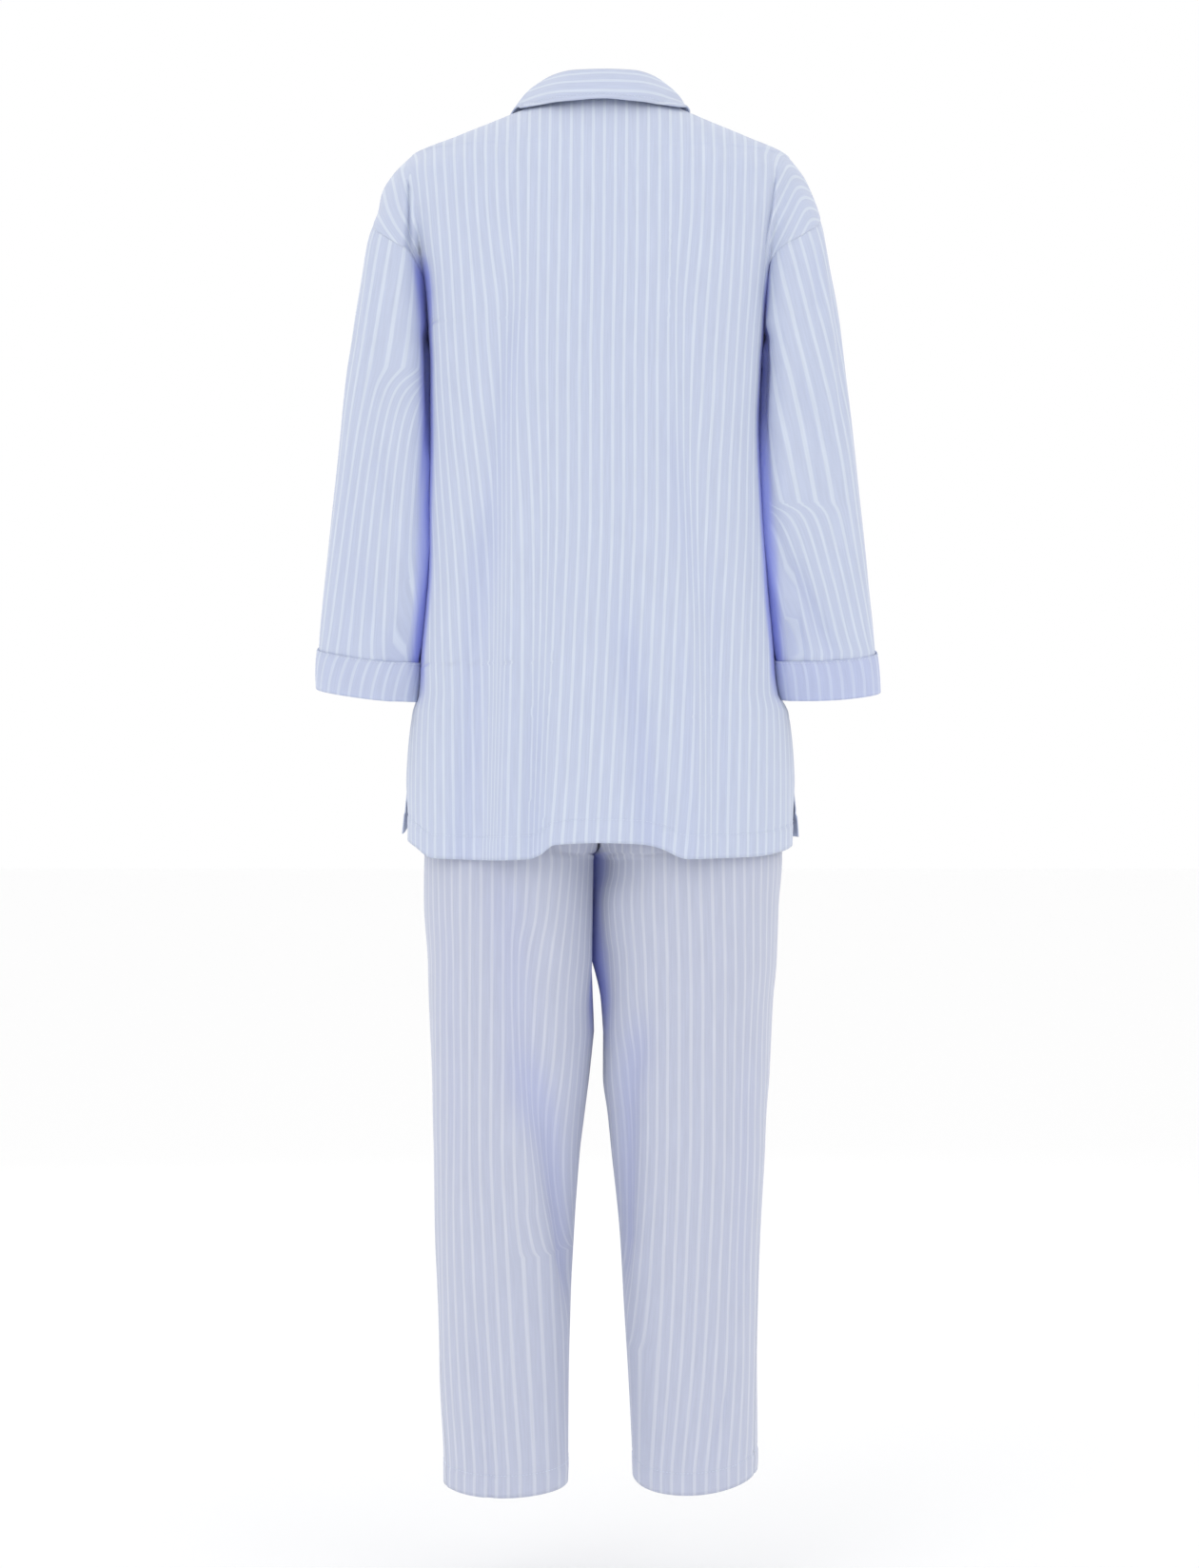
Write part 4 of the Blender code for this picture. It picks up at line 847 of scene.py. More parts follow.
def slit(grid, amount, edge_column):
    """The free edge beside the slit moved out by `amount`, less and less away from it."""
    moved = grid.copy()
    down = ease((SLIT_TOP - grid[..., 2]) / 0.075)
    edge = grid[:, edge_column][:, None, :]
    near = np.exp(-((np.linalg.norm(grid - edge, axis=2) / 0.035) ** 2))
    moved[..., 0] += np.sign(edge[..., 0]) * amount * down * near
    return moved


def tucked(grid):
    """How deep the back's cloth is tucked in along the crease between the body and each arm."""
    z = grid[..., 2]
    total = np.zeros_like(z)
    for side, name in ((LEFT, "left"), (RIGHT, "right")):
        beyond = side * grid[..., 0] - curve(ARM_CREASE, name, z)
        across = beyond / np.where(beyond > 0, 0.0018, curve(ARM_CREASE, name + "_spread", z))
        total += curve(ARM_CREASE, name + "_deep", z) * np.exp(-across * across)
    return total


def squared_off(grid):
    """How far the back's cloth stands out beside the arms, where it turns sharply to the side."""
    z = grid[..., 2]
    out = curve(TORSO, "half_width", z) - np.abs(grid[..., 0])
    level = ease((-0.190 - z) / 0.06) * ease((z + 0.640) / 0.10)
    return 0.0075 * np.exp(-(((out - 0.006) / 0.008) ** 2)) * level


def top_back(finish, columns=84):
    levels = deep_levels()
    halves = {side: half_grid(side, BACK, columns, levels, lambda z: 0.0) for side in (LEFT, RIGHT)}
    grid = np.concatenate([halves[RIGHT][:, :0:-1], halves[LEFT]], axis=1)
    grid = with_hem(grid, levels, BACK_HEM)
    middle = columns - 1
    run = across_rows(grid)
    run = run - run[:, middle : middle + 1]
    u = across_stripes(shifted(grid), run, BACK_STRIPES, BACK_FOLD_COUNTS)
    u = over_the_shoulder(grid, u)
    fade = edge_fade(grid)
    press = folded(BACK_FOLDS, grid[..., 0], grid[..., 2]) * fade
    # How deep the folds press, 0 to 1, which sets how much painted shade they get.
    deep = ease(np.abs(press) / 0.012)
    press += tucked(grid) - squared_off(grid)
    press += 0.0011 * rumple(grid[..., 0], grid[..., 2], 0.034, 0.17, 3) * fade
    grid[..., 1] -= press
    press = seam_roll(grid) - hem_lift(grid, grid[-1:, :, 2], HEM_DEEP)
    grid = grid - outwards(grid) * press[..., None]
    grid = slit(grid, -SLIT_BACK_IN, 0)
    grid = slit(grid, -SLIT_BACK_IN, -1)
    # Painted shade: a deeper blue in the slits beside the arms and in the troughs of the folds.
    painted_shade = painted_slit_shade(grid, LEFT) + painted_slit_shade(grid, RIGHT) + PAINTED_FOLD_SHADE * deep
    return sewn("top_back_cloth", shifted(grid), u, -grid[..., 2], finish, painted_shade=painted_shade), grid


def straight_up(x, z):
    """The thread measure where the stripes run straight up to the shoulder's ridge."""
    lines, _ = lie_of_stripes(BACK_STRIPES, BACK_FOLD_COUNTS, z)
    places = np.array([place for place, _ in lines])
    counts = np.array([count for _, count in lines])
    inner = np.interp(x, places, counts)
    return inner + 1.067 * (np.minimum(x - places[0], 0.0) + np.maximum(x - places[-1], 0.0))


def crease_x(z, side):
    """How far out the back's cloth tucks in where the arm begins."""
    return float(curve(ARM_CREASE, "left" if side == LEFT else "right", z))


def cap_measure(out, z, side):
    """The thread measure over the arm: stripes bent towards the body on the left, arches on the right."""
    if side == LEFT:
        drop = -0.105 - z
        return out + 0.23 * drop + 6.5 * max(drop, 0.0) ** 2 + 0.0304
    inwards = 0.193 + 0.36 * (-0.0657 - z) - out
    near = np.clip(inwards, 0.0, 0.012)
    arch = near ** 2 / 0.020 + 1.2 * np.maximum(inwards - 0.012, 0.0) + np.minimum(inwards, 0.0) ** 2 / 0.020
    return 0.2415 - 0.1116 - z - arch


def over_the_shoulder(grid, u):
    """Leads the stripes straight up to the shoulder's ridge, and over the arm beyond the crease."""
    out = u.copy()
    for r, row in enumerate(grid):
        z = row[:, 2].mean()
        if z < -0.175:
            break
        x = shifted(row)[:, 0]
        upper = float(ease((z + 0.075) / 0.035))
        if upper > 0:
            out[r] = u[r] + (straight_up(x, z) - u[r]) * upper
        soft = 0.050 - 0.047 * float(ease((-0.040 - z) / 0.045))
        for side in (LEFT, RIGHT):
            beyond = side * x - crease_x(z, side)
            share = ease(beyond / soft + 0.5) * float(ease((-0.030 - z) / 0.015))
            out[r] += share * (side * cap_measure(side * x, z, side) - out[r])
    return out


def neck_edge(z):
    """How far from the middle a front starts: the V of the neck above the break, past the middle below."""
    if z < BREAK:
        return -LAP * float(ease((BREAK - z) / 0.02))
    return min(NECK_SPREAD * (z - BREAK) / -BREAK, torso_at(z)["half_width"] - 0.014)


def lapped(grid, side):
    """The fronts drawn apart where they overlap: the right one lies outside."""
    step = LAP_STEP * ease((0.030 - side * grid[..., 0]) / 0.02) * ease((BREAK + 0.04 - grid[..., 2]) / 0.03)
    moved = grid.copy()
    moved[..., 1] += step * (1 if side == LEFT else -1)
    return moved


def top_front(side, finish, columns=60):
    levels = deep_levels()
    grid = half_grid(side, FRONT, columns, levels, neck_edge)
    grid = with_hem(grid, levels, FRONT_HEM)
    run = across_rows(grid)
    start = np.array([max(neck_edge(z), -LAP) for z in grid[:, :, 2].mean(axis=1)])
    u = side * (start[:, None] + run) + 0.004 * side
    lean = 0.05 * ease((-0.25 - grid[..., 2]) / 0.45) * 0.3
    u = u + side * lean * ease(run / 0.12)
    fade = edge_fade(grid)
    press = folded(FRONT_FOLDS, grid[..., 0], grid[..., 2]) * fade
    press += 0.0011 * rumple(grid[..., 0], grid[..., 2], 0.036, 0.18, 11 + side) * fade
    grid[..., 1] += press
    roll = seam_roll(grid) * ease((run - 0.01) / 0.01)
    press = roll - hem_lift(grid, grid[-1:, :, 2], HEM_DEEP)
    grid = grid - outwards(grid) * press[..., None]
    grid = lapped(slit(grid, SLIT_FRONT_OUT, -1), side)
    name = "top_front_left_cloth" if side == LEFT else "top_front_right_cloth"
    return sewn(name, shifted(grid), u, -grid[..., 2], finish), grid


def facing(side, finish, columns=24, rows=60):
    """The turned-out revers, made from the front's points and moved out."""
    grid = []
    for z in np.linspace(REVERS_TOP, -0.205, rows):
        line = body_row(z, side, FRONT)
        start = max(neck_edge(z), 0.0) + 0.0004
        width = float(curve(REVERS, "width", z))
        line = line[np.abs(line[:, 0]) >= start]
        grid.append(along(line, np.linspace(0.0, width, columns)))
    grid = np.array(grid)
    share = np.linspace(0.0, 1.0, columns)
    lift = 0.0025 + 0.0035 * np.sin(share * math.pi) ** 2 * ease((grid[:, :1, 2] + 0.21) / 0.08)
    u = side * (0.003 - across_rows(grid)) + 0.002
    grid = lapped(grid, side) + outwards(grid) * lift[..., None]
    name = "front_facing_left_cloth" if side == LEFT else "front_facing_right_cloth"
    return sewn(name, shifted(grid), u, -grid[..., 2], finish, COLLAR_THICK), grid


def clear_of_body(points, clear):
    """Points pushed out until they stand `clear` outside the body's form."""
    moved = points.copy()
    for point in moved.reshape(-1, 3):
        reach = torso_reach(point[None], point[2] - COLLAR_LIFT, clear)[0]
        if reach < 1.0:
            point[:2] /= reach ** float(1 - ease((point[2] - NECK_TOP - COLLAR_LIFT) / 0.006))
    return moved


def collar(finish, columns=121, stand=4, fall=22):
    names = COLLAR[0]
    half = np.array(COLLAR[1:])
    right = half[:0:-1] * np.array([-COLLAR_RIGHT if name.endswith("_x") else 1.0 for name in names])
    whole = np.concatenate([right, half])
    run = lengths(whole[:, 3:6])
    at = np.linspace(0.0, run[-1], columns)
    lines = []
    for name in range(9):
        table = (("run", "value"),) + tuple(zip(run, whole[:, name]))
        lines.append(curve(table, "value", at))
    foot, roll, edge = (np.stack(lines[k : k + 3], axis=1) for k in (0, 3, 6))
    grid = [foot + (roll - foot) * share for share in np.linspace(0.0, 1.0, stand)[:-1]]
    for share in np.linspace(0.0, 1.0, fall):
        point = roll + (edge - roll) * share
        away = point * (1.0, 1.0, 0.0) + (0.0, 0.0, 0.012)
        away /= np.linalg.norm(away, axis=1, keepdims=True)
        grid.append(point + away * 0.004 * math.sin(share * math.pi))
    grid = np.array(grid)
    grid[stand - 1 :] = clear_of_body(grid[stand - 1 :], COLLAR_CLEAR)
    steps = np.linalg.norm(np.diff(grid, axis=0), axis=2)
    down = np.concatenate([np.zeros((1, columns)), np.cumsum(steps, axis=0)])
    down = down - down[stand - 1]
    length = across_rows(grid)
    away = outwards(grid)
    edge_near = down[-1:] - down
    press = 0.0005 * np.exp(-(((edge_near - 0.005) / 0.0012) ** 2))
    press -= 0.0006 * rumple(length, down, 0.05, 0.03, 8) * ease(down / 0.01)
    grid = grid - away * press[..., None]
    u = (down - 0.0207) * PERIOD / 0.0125
    return sewn("collar_cloth", shifted(grid), u, length, finish, COLLAR_THICK), grid


# ------------------------------------------------------------------ sleeves
def sleeve_edge(side, levels):
    """The sleeve's top edge, from the ridge round by the back: (share, level) of each column."""
    under, _ = UNDERARM[side]
    found = {BACK: [], FRONT: []}
    for face in (BACK, FRONT):
        for z in levels:
            if not under < z < ARMHOLE_TOP[side] - 1e-6:
                continue
            ring = arm_ring(z, side)
            arc = ring if face == BACK else ring[::-1]
            outside = torso_reach(arc, z, ARM_CLEAR) >= 1.0
            stop = int(np.argmin(outside)) if not outside.all() else len(arc) // 2
            seam = beyond_seam(arc[:stop], z, side)
            index = int(np.argmax(seam)) if seam.any() else stop - 1
            run = lengths(arc)
            share = run[index] / run[-1]
            found[face].append(((share if face == BACK else 1.0 - share) + ridge_share(z, side), z))
    top = ARMHOLE_TOP[side]
    return [(ridge_share(top, side), top)] + found[BACK] + [(0.5, under - 0.013)] + found[FRONT][::-1]


def end_level(ends, share):
    """The level of a tube's end at this share of the way round: outer, back middle, inner."""
    outer, back, inner = ends
    turn = 2 * math.pi * share
    level = (outer + inner) / 2 + (outer - inner) / 2 * np.cos(turn)
    return level + (back - (outer + inner) / 2) * np.sin(turn) * np.where(np.sin(turn) > 0, 1.0, 0.35)


def tube_points(z, share, side):
    """Points of the arm's tube at levels z and shares of the way round, both arrays of one shape."""
    levels = np.linspace(z.min() - 1e-6, z.max() + 1e-6, 170)
    shares = np.linspace(0.0, 1.0, 241)
    rings = [plain_ring(level, side) for level in levels]
    table = np.array([along(ring, shares * lengths(ring)[-1]) for ring in rings])
    a = (z - levels[0]) / (levels[1] - levels[0])
    b = (share % 1.0) * 240
    i = np.clip(a.astype(int), 0, len(levels) - 2)
    j = np.clip(b.astype(int), 0, 239)
    s = (a - i)[..., None]
    t = (b - j)[..., None]
    return (
        table[i, j] * (1 - s) * (1 - t) + table[i + 1, j] * s * (1 - t)
        + table[i, j + 1] * (1 - s) * t + table[i + 1, j + 1] * s * t
    )


def sleeve_measure(level, around, side):
    """The thread measure at levels and shares of the way round, counted from the outer side by the back."""
    levels = np.linspace(level.min() - 1e-6, level.max() + 1e-6, 90)
    shares = np.linspace(-0.60, 0.60, 241)
    rows = []
    for z in levels:
        ring = plain_ring(z, side)
        run = shares * lengths(ring)[-1]
        line = shifted(along(ring, run % lengths(ring)[-1]))
        seen = (shares > 0.0) & (shares < 0.5)
        ends = [float(curve(SLEEVE_STRIPES[side], name, z)) for name in ("outer", "inner")]
        lines = [(x, count * PERIOD) for x, count in zip(ends, SLEEVE_COUNTS[side])]
        rows.append(thread_measure(line * (side, 1, 1), run, z, lines, seen=seen))
    rows = np.array(rows)
    a = (level - levels[0]) / (levels[1] - levels[0])
    b = (around - shares[0]) / (shares[1] - shares[0])
    i = np.clip(a.astype(int), 0, len(levels) - 2)
    j = np.clip(b.astype(int), 0, len(shares) - 2)
    s, t = a - i, b - j
    upper = rows[i, j] * (1 - t) + rows[i, j + 1] * t
    return upper * (1 - s) + (rows[i + 1, j] * (1 - t) + rows[i + 1, j + 1] * t) * s


def painted_slit_shade(grid, side):
    """How much painted shade the cloth at these points gets in the slit between the body and an arm, 0 to 1.
    """
    z = grid[..., 2]
    wall = curve(TORSO, "half_width", z)
    out = side * grid[..., 0] - wall
    near = ease((0.011 - out) / 0.008) * ease((out + 0.016) / 0.008)
    behind = ease((curve(SLIT_MOUTH, "left" if side == LEFT else "right", z) - grid[..., 1]) / 0.012 + 0.5)
    behind = behind * ease((grid[..., 1] + 0.065) / 0.030)
    return near * behind * ease((-0.150 - z) / 0.03) * ease((z + 0.610) / 0.05)


def pressed_on(grid, side, room=0.0):
    """A sleeve's points moved onto the body where it hangs against it, up to a depth that the slit leaves."""
    moved = grid.copy()
    for point in moved.reshape(-1, 3):
        x, y, z = point
        size = torso_at(z)
        depth = size["back"] if y > 0 else size["front"]
        wall = size["half_width"] * (1 - min(abs(y / depth), 0.999) ** size["square"]) ** (1 / size["square"])
        gap = side * x - wall - PRESS_CLEAR - room * float(ease((CUFF_END[side][1] + 0.055 - z) / 0.015))
        mouth = float(curve(PRESS, "left" if side == LEFT else "right", z))
        pull = PRESS_REACH * float(ease((mouth - y) / 0.014 + 0.5)) * float(ease((y + 0.060) / 0.02))
        pull *= float(ease((UNDERARM[side][0] + 0.004 - z) / 0.02))
        if abs(gap) < 0.030:
            point[0] -= side * min(max(gap, 0.0), pull)
    return moved


def sleeve(side, finish, rows=120):
    edge = sleeve_edge(side, TOP_LEVELS)
    count = len(edge)
    shares = np.array([share for share, _ in edge])
    tops = np.array([top for _, top in edge]) + SLEEVE_UNDER_CAP
    under = next(c for c, (at, _) in enumerate(edge) if at == 0.5)
    shares_end = np.interp(np.arange(count), (0, under, count), (0.0, 0.5, 1.0))
    bottoms = end_level(CUFF_END[side], shares_end) + SLEEVE_IN_CUFF
    down = np.linspace(0.0, 1.0, rows)[:, None]
    z = tops + (bottoms - tops) * down
    share = shares + (shares_end - shares) * ease(down * 1.15)
    grid = tube_points(z, share, side)
    amount = folded(SLEEVE_FOLDS[side], shares_end[None, :], z)
    # How deep the folds press, 0 to 1, which sets how much painted shade they get.
    deep = ease(np.abs(amount) / 0.009)
    round_arm = 3.0 * np.sin(shares_end * 2 * math.pi)[None, :] * 0.06
    amount += 0.0013 * rumple(round_arm, z, 0.040, 0.15, 21 + side)
    amount += SEAM_DIP * np.exp(-(((shares_end - 0.5) / 0.010) ** 2))
    amount = amount * ease((z - CUFF_END[side][1] - CUFF_WIDTH * 0.6) / 0.05)
    amount = amount * ease(down * rows / 24.0)
    amount = amount + 0.0007 * (1 - ease(down * rows / 4.0)) * ease((tops + 0.175) / 0.012)
    grid = pressed_on(grid - outwards(grid, closed=True) * amount[..., None], side, CUFF_STAND)
    grid = np.roll(grid, -under, axis=1)
    ridge = count - under
    level = np.concatenate([np.roll(z, -under, axis=1), np.roll(z, -under, axis=1)[:, :1]], axis=1)
    around = np.concatenate([np.roll(share, -under, axis=1), np.roll(share, -under, axis=1)[:, :1]], axis=1)
    around[:, :ridge] -= 1.0
    u = sleeve_measure(level, around, side)
    beside = np.concatenate([grid, grid[:, :1]], axis=1)
    deep = np.roll(deep, -under, axis=1)
    # Painted shade: a deeper blue in the slit beside the body and in the troughs of the folds.
    painted_shade = painted_slit_shade(beside, side) + PAINTED_FOLD_SHADE * np.concatenate([deep, deep[:, :1]], axis=1)
    name = "sleeve_left_cloth" if side == LEFT else "sleeve_right_cloth"
    return sewn(name, shifted(grid), u, -level, finish, closed=True, painted_shade=painted_shade), grid


def cuff(side, finish, columns=96, rows=16):
    """The turned-up band round the end of a sleeve."""
    share = (np.arange(columns) / columns + 0.5) % 1.0
    bottom = end_level(CUFF_END[side], share)
    up = np.linspace(0.0, 1.0, rows)[:, None]
    z = bottom + CUFF_WIDTH * up
    grid = tube_points(z, np.broadcast_to(share, z.shape), side)
    out = outwards(grid, closed=True)
    swell = CUFF_STAND - 0.0005 * ease((up - 0.85) / 0.15) + 0.0007 * np.sin(up * math.pi)
    swell = swell + 0.0010 * rumple(share[None, :] * 0.3, up * 0.04, 0.03, 0.08, 31)
    grid = pressed_on(grid + out * (swell + 0.0 * z)[..., None], side)
    run = across_rows(np.concatenate([grid, grid[:, :1]], axis=1))
    run = run - run[:, columns // 2 : columns // 2 + 1]
    level = np.concatenate([z, z[:, :1]], axis=1)
    u = run + CUFF_SHIFT[side] + CUFF_LEAN[side] * (level - bottom[0])
    name = "cuff_left_cloth" if side == LEFT else "cuff_right_cloth"
    # Painted shade: the whole cuff gets a deeper blue, the right one more than the left.
    painted_shade = PAINTED_CUFF_SHADE[side] + 0.0 * u
    return sewn(name, shifted(grid), u, -level, finish, closed=True, painted_shade=painted_shade), grid


# ------------------------------------------------------------------ the trousers
def leg_ring(z, side, count=480):
    """A leg's outline at one level, from its outermost point round by the back, closed on itself."""
    suffix = "left" if side == LEFT else "right"
    outer = float(curve(LEGS, "outer_" + suffix, z))
    inner = float(curve(LEGS, "inner_" + suffix, z))
    middle, depth, square = (float(curve(LEGS, name, z)) for name in ("middle", "half_depth", "square"))
    angle = np.linspace(0.0, 2 * math.pi, count + 1)
    x = (outer + inner) / 2 + (outer - inner) / 2 * power(np.cos(angle), 2 / square)
    y = middle + depth * power(np.sin(angle), 2 / square)
    return np.stack([side * x, y, np.full(count + 1, z)], axis=1)


def outseam(z):
    """The side seam's angle from the back: it turns to the back of the leg towards the ankle."""
    return OUTSEAM["top"] + (OUTSEAM["end"] - OUTSEAM["top"]) * float(ease((-0.75 - z) / 0.65))


def leg_row(z, side, face, count):
    """Half a leg's outline: from the inside leg or centre seam to the side seam."""
    ring = leg_ring(z, side)
    if face == FRONT:
        ring = ring[::-1]
    half = ring[: len(ring) // 2 + 1]
    seam = math.radians(90 - outseam(z)) * face
    run = lengths(half)
    start = run[-1] * seam / math.pi
    if start >= 0:
        line = along(half, np.linspace(start, run[-1], 300))
    else:
        other = ring[::-1][: len(ring) // 4]
        extra = along(other, np.linspace(-start, 0.0, 60))
        line = np.concatenate([extra[:-1], half])
    joined = side * line[:, 0] < SEAM_GAP
    line = line[~joined][::-1]
    run = lengths(line)[-1]
    start = 0.0 if joined.any() else SEAM_GAP * 1.3
    return along(line, np.linspace(start, run - SEAM_GAP * 1.3, count))


def parted(grid, side):
    """The cloth between the legs moved aside: behind, one leg's cloth shows past the other's edge."""
    leg = "left_" if side == LEFT else "right_"
    moved = grid.copy()
    near = np.exp(-((grid[..., 0] / 0.035) ** 2))
    behind = ease((grid[..., 1] - 0.005) / 0.045)
    back = curve(LEGS_PART, leg + "back", grid[..., 2])
    front = curve(LEGS_PART, leg + "front", grid[..., 2])
    moved[..., 0] += near * (front + (back - front) * behind)
    return moved


def painted_crotch_shade(grid):
    """How much painted shade a leg's cloth gets where it is hidden between the legs under the hem, 0 to 1."""
    near = ease((0.034 - np.abs(grid[..., 0])) / 0.020) * ease((0.050 - grid[..., 1]) / 0.030)
    near = near * ease((grid[..., 1] + 0.040) / 0.030)
    return near * ease((-0.700 - grid[..., 2]) / 0.02) * ease((grid[..., 2] + 0.960) / 0.08)


def trouser(side, face, finish, columns=46, rows=200):
    levels = np.concatenate([np.linspace(WAIST - SEAM_GAP, -1.36, rows), np.linspace(-1.36, -1.394, 9)[1:]])
    grid = np.array([leg_row(z, side, face, columns) for z in levels])
    around = np.linspace(0.5, 0.0, columns)[None, :]
    if face == FRONT:
        around = 1.0 - around
    share = around * np.ones((len(levels), 1))
    run = across_rows(grid)
    if face == BACK:
        mirrored = grid * (side, 1, 1)
        u = side * across_stripes(mirrored, run, LEG_STRIPES[side], LEG_FOLD_COUNTS[side])
    else:
        u = side * (run - run[:, -1:] + 0.003)
    fade = edge_fade(grid)
    press = folded(LEG_FOLDS[side], share, grid[..., 2]) * fade
    # How deep the folds press, 0 to 1, which sets how much painted shade they get.
    deep = ease(np.abs(press) / 0.012)
    press += 0.0012 * rumple(run, grid[..., 2], 0.040, 0.16, 41 + side + 4 * face) * fade
    press += seam_roll(grid) * ease((-0.60 - grid[..., 2]) / 0.1)
    grid = grid - leg_out(grid, side) * press[..., None]
    deep = np.stack([deep, deep, deep], axis=-1)
    ends = end_level(LEG_END[side], share[-1])
    wanted = np.repeat(levels[:, None], columns, axis=1)[:-1]
    low = 24
    wanted[-low:] = wanted[-low - 1] + (ends - wanted[-low - 1]) * (np.arange(1, low + 1) / low)[:, None]
    grid = to_levels(grid, levels, wanted)
    u = to_levels(np.stack([u, u, u], axis=-1), levels, wanted)[..., 0]
    deep = to_levels(deep, levels, wanted)[..., 0]
    grid = grid + leg_out(grid, side) * hem_lift(grid, grid[-1:, :, 2], LEG_HEM_DEEP)[..., None]
    facing_word = "back" if face == BACK else "front"
    name = "trouser_{}_{}_cloth".format(facing_word, "left" if side == LEFT else "right")
    # Painted shade: a deeper blue between the legs and in the troughs of the folds.
    painted_shade = painted_crotch_shade(grid) + PAINTED_LEG_FOLD_SHADE * deep
    return sewn(name, parted(grid, side), u, -grid[..., 2], finish, painted_shade=painted_shade), grid


def leg_out(grid, side):
    """Unit normals that point away from a leg's middle line."""
    normal = normals(grid)
    away = grid - np.array([side * 0.088, 0.0, 0.0])
    away[..., 2] = 0.0
    return normal if (normal * away).sum() > 0 else -normal


def waistband(finish, columns=264):
    """The elastic casing: a gathered band on the trousers' top edge."""
    grid = []
    wide = float(curve(LEGS, "outer_left", WAIST))
    middle, depth, square = (float(curve(LEGS, n, WAIST)) for n in ("middle", "half_depth", "square"))
    angle = np.linspace(0.0, 2 * math.pi, 481)
    across = wide * power(np.cos(angle), 2 / square)
    line = np.stack([across, middle + depth * power(np.sin(angle), 2 / square)], axis=1)
    ring = along(line, np.linspace(0.0, lengths(line)[-1], columns + 1))[:-1]
    for up in np.linspace(0.0, 1.0, 14):
        wave = 1 + 0.007 * np.cos(np.arange(columns) * math.pi / 3) * math.sin(up * math.pi)
        level = WAIST + SEAM_GAP + WAISTBAND_WIDTH * up
        grid.append(np.column_stack([ring * wave[:, None], np.full(columns, level)]))
    grid = np.array(grid)
    run = across_rows(np.concatenate([grid, grid[:, :1]], axis=1))
    level = np.concatenate([grid[..., 2], grid[:, :1, 2]], axis=1)
    return sewn("waistband_cloth", grid, run * 1.4, -level, finish, thick=0.0016, closed=True), grid


# ------------------------------------------------------------------ stitching and buttons
def stitched(name, lines, finish, stitch=0.0026, gap=0.0010, radius=0.00028, proud=0.00035):
    """Rows of short thread stitches. Each line is (points, outward directions)."""
    points, faces = [], []
    sides = 5
    for line, out in lines:
        run = lengths(line)
        count = int(run[-1] / (stitch + gap))
        for k in range(count):
            start = k * (stitch + gap) + gap / 2
            at = np.array([start, start + stitch / 2, start + stitch])
            centre = along(line, at)
            place = at / run[-1] * (len(out) - 1)
            up = np.stack([np.interp(place, np.arange(len(out)), out[:, k]) for k in range(3)], axis=1)
            up /= np.linalg.norm(up, axis=1, keepdims=True)
            way = centre[-1] - centre[0]
            way /= np.linalg.norm(way)
            base = len(points)
            for c, u, rise, wide in zip(centre, up, (-0.4, 1.0, -0.4), (0.6, 1.0, 0.6)):
                across = np.cross(way, u)
                for s in range(sides):
                    a = 2 * math.pi * s / sides
                    lift = u * (proud * rise + radius * wide * math.sin(a))
                    points.append(c + lift + across * radius * wide * math.cos(a))
            for r in range(2):
                for s in range(sides):
                    t = (s + 1) % sides
                    low, high = base + r * sides, base + (r + 1) * sides
                    faces.append((low + s, low + t, high + t, high + s))
            faces.append(tuple(base + s for s in range(sides))[::-1])
            faces.append(tuple(base + 2 * sides + s for s in range(sides)))
    mesh = bpy.data.meshes.new(name)
    mesh.from_pydata([tuple(p) for p in points], [], faces)
    mesh.materials.append(finish)
    mesh.polygons.foreach_set("use_smooth", np.ones(len(faces), bool))
    made = bpy.data.objects.new(name, mesh)
    bpy.context.scene.collection.objects.link(made)
    bpy.ops.object.select_all(action="DESELECT")
    bpy.context.view_layer.objects.active = made
    made.select_set(True)
    bpy.ops.object.mode_set(mode="EDIT")
    bpy.ops.mesh.select_all(action="SELECT")
    bpy.ops.mesh.normals_make_consistent(inside=False)
    bpy.ops.object.mode_set(mode="OBJECT")
    made.select_set(False)
    return made


def stitch_line(grid, out, inset, thick=CLOTH_THICK, closed=False):
    """Where stitches lie on a grid's outer face, this far in from its last row: (points, directions)."""
    steps = np.linalg.norm(np.diff(grid[::-1], axis=0), axis=2)
    rows, ways = [], []
    for column in range(grid.shape[1]):
        up = np.concatenate([[0.0], np.cumsum(steps[:, column])])
        rows.append([np.interp(inset, up, grid[::-1, column, k]) for k in range(3)])
        ways.append([np.interp(inset, up, out[::-1, column, k]) for k in range(3)])
    rows, ways = np.array(rows), np.array(ways)
    if closed:
        rows, ways = np.concatenate([rows, rows[:1]]), np.concatenate([ways, ways[:1]])
    ways /= np.linalg.norm(ways, axis=1, keepdims=True)
    return rows + ways * thick / 2, ways


def edge_stitches(node, grid, thread):
    """The row of stitches that shows along a piece's hem or turned edge."""
    side = LEFT if node.endswith("left") else RIGHT
    if node.startswith("top_"):
        line = stitch_line(shifted(grid), outwards(grid), HEM_DEEP)
    elif node.startswith("trouser_"):
        line = stitch_line(parted(grid, side), leg_out(grid, side), LEG_HEM_DEEP)
    elif node.startswith("cuff_"):
        line = stitch_line(shifted(grid), outwards(grid, closed=True), 0.0018, closed=True)
    elif node == "collar":
        line = stitch_line(shifted(grid), outwards(grid), 0.005, COLLAR_THICK)
    elif node.startswith("front_facing_"):
        turned = shifted(grid).transpose(1, 0, 2)
        line = stitch_line(turned, outwards(grid).transpose(1, 0, 2), 0.005, COLLAR_THICK)
    else:
        return ()
    return (stitched(f"{node}_stitches", [line], thread),)


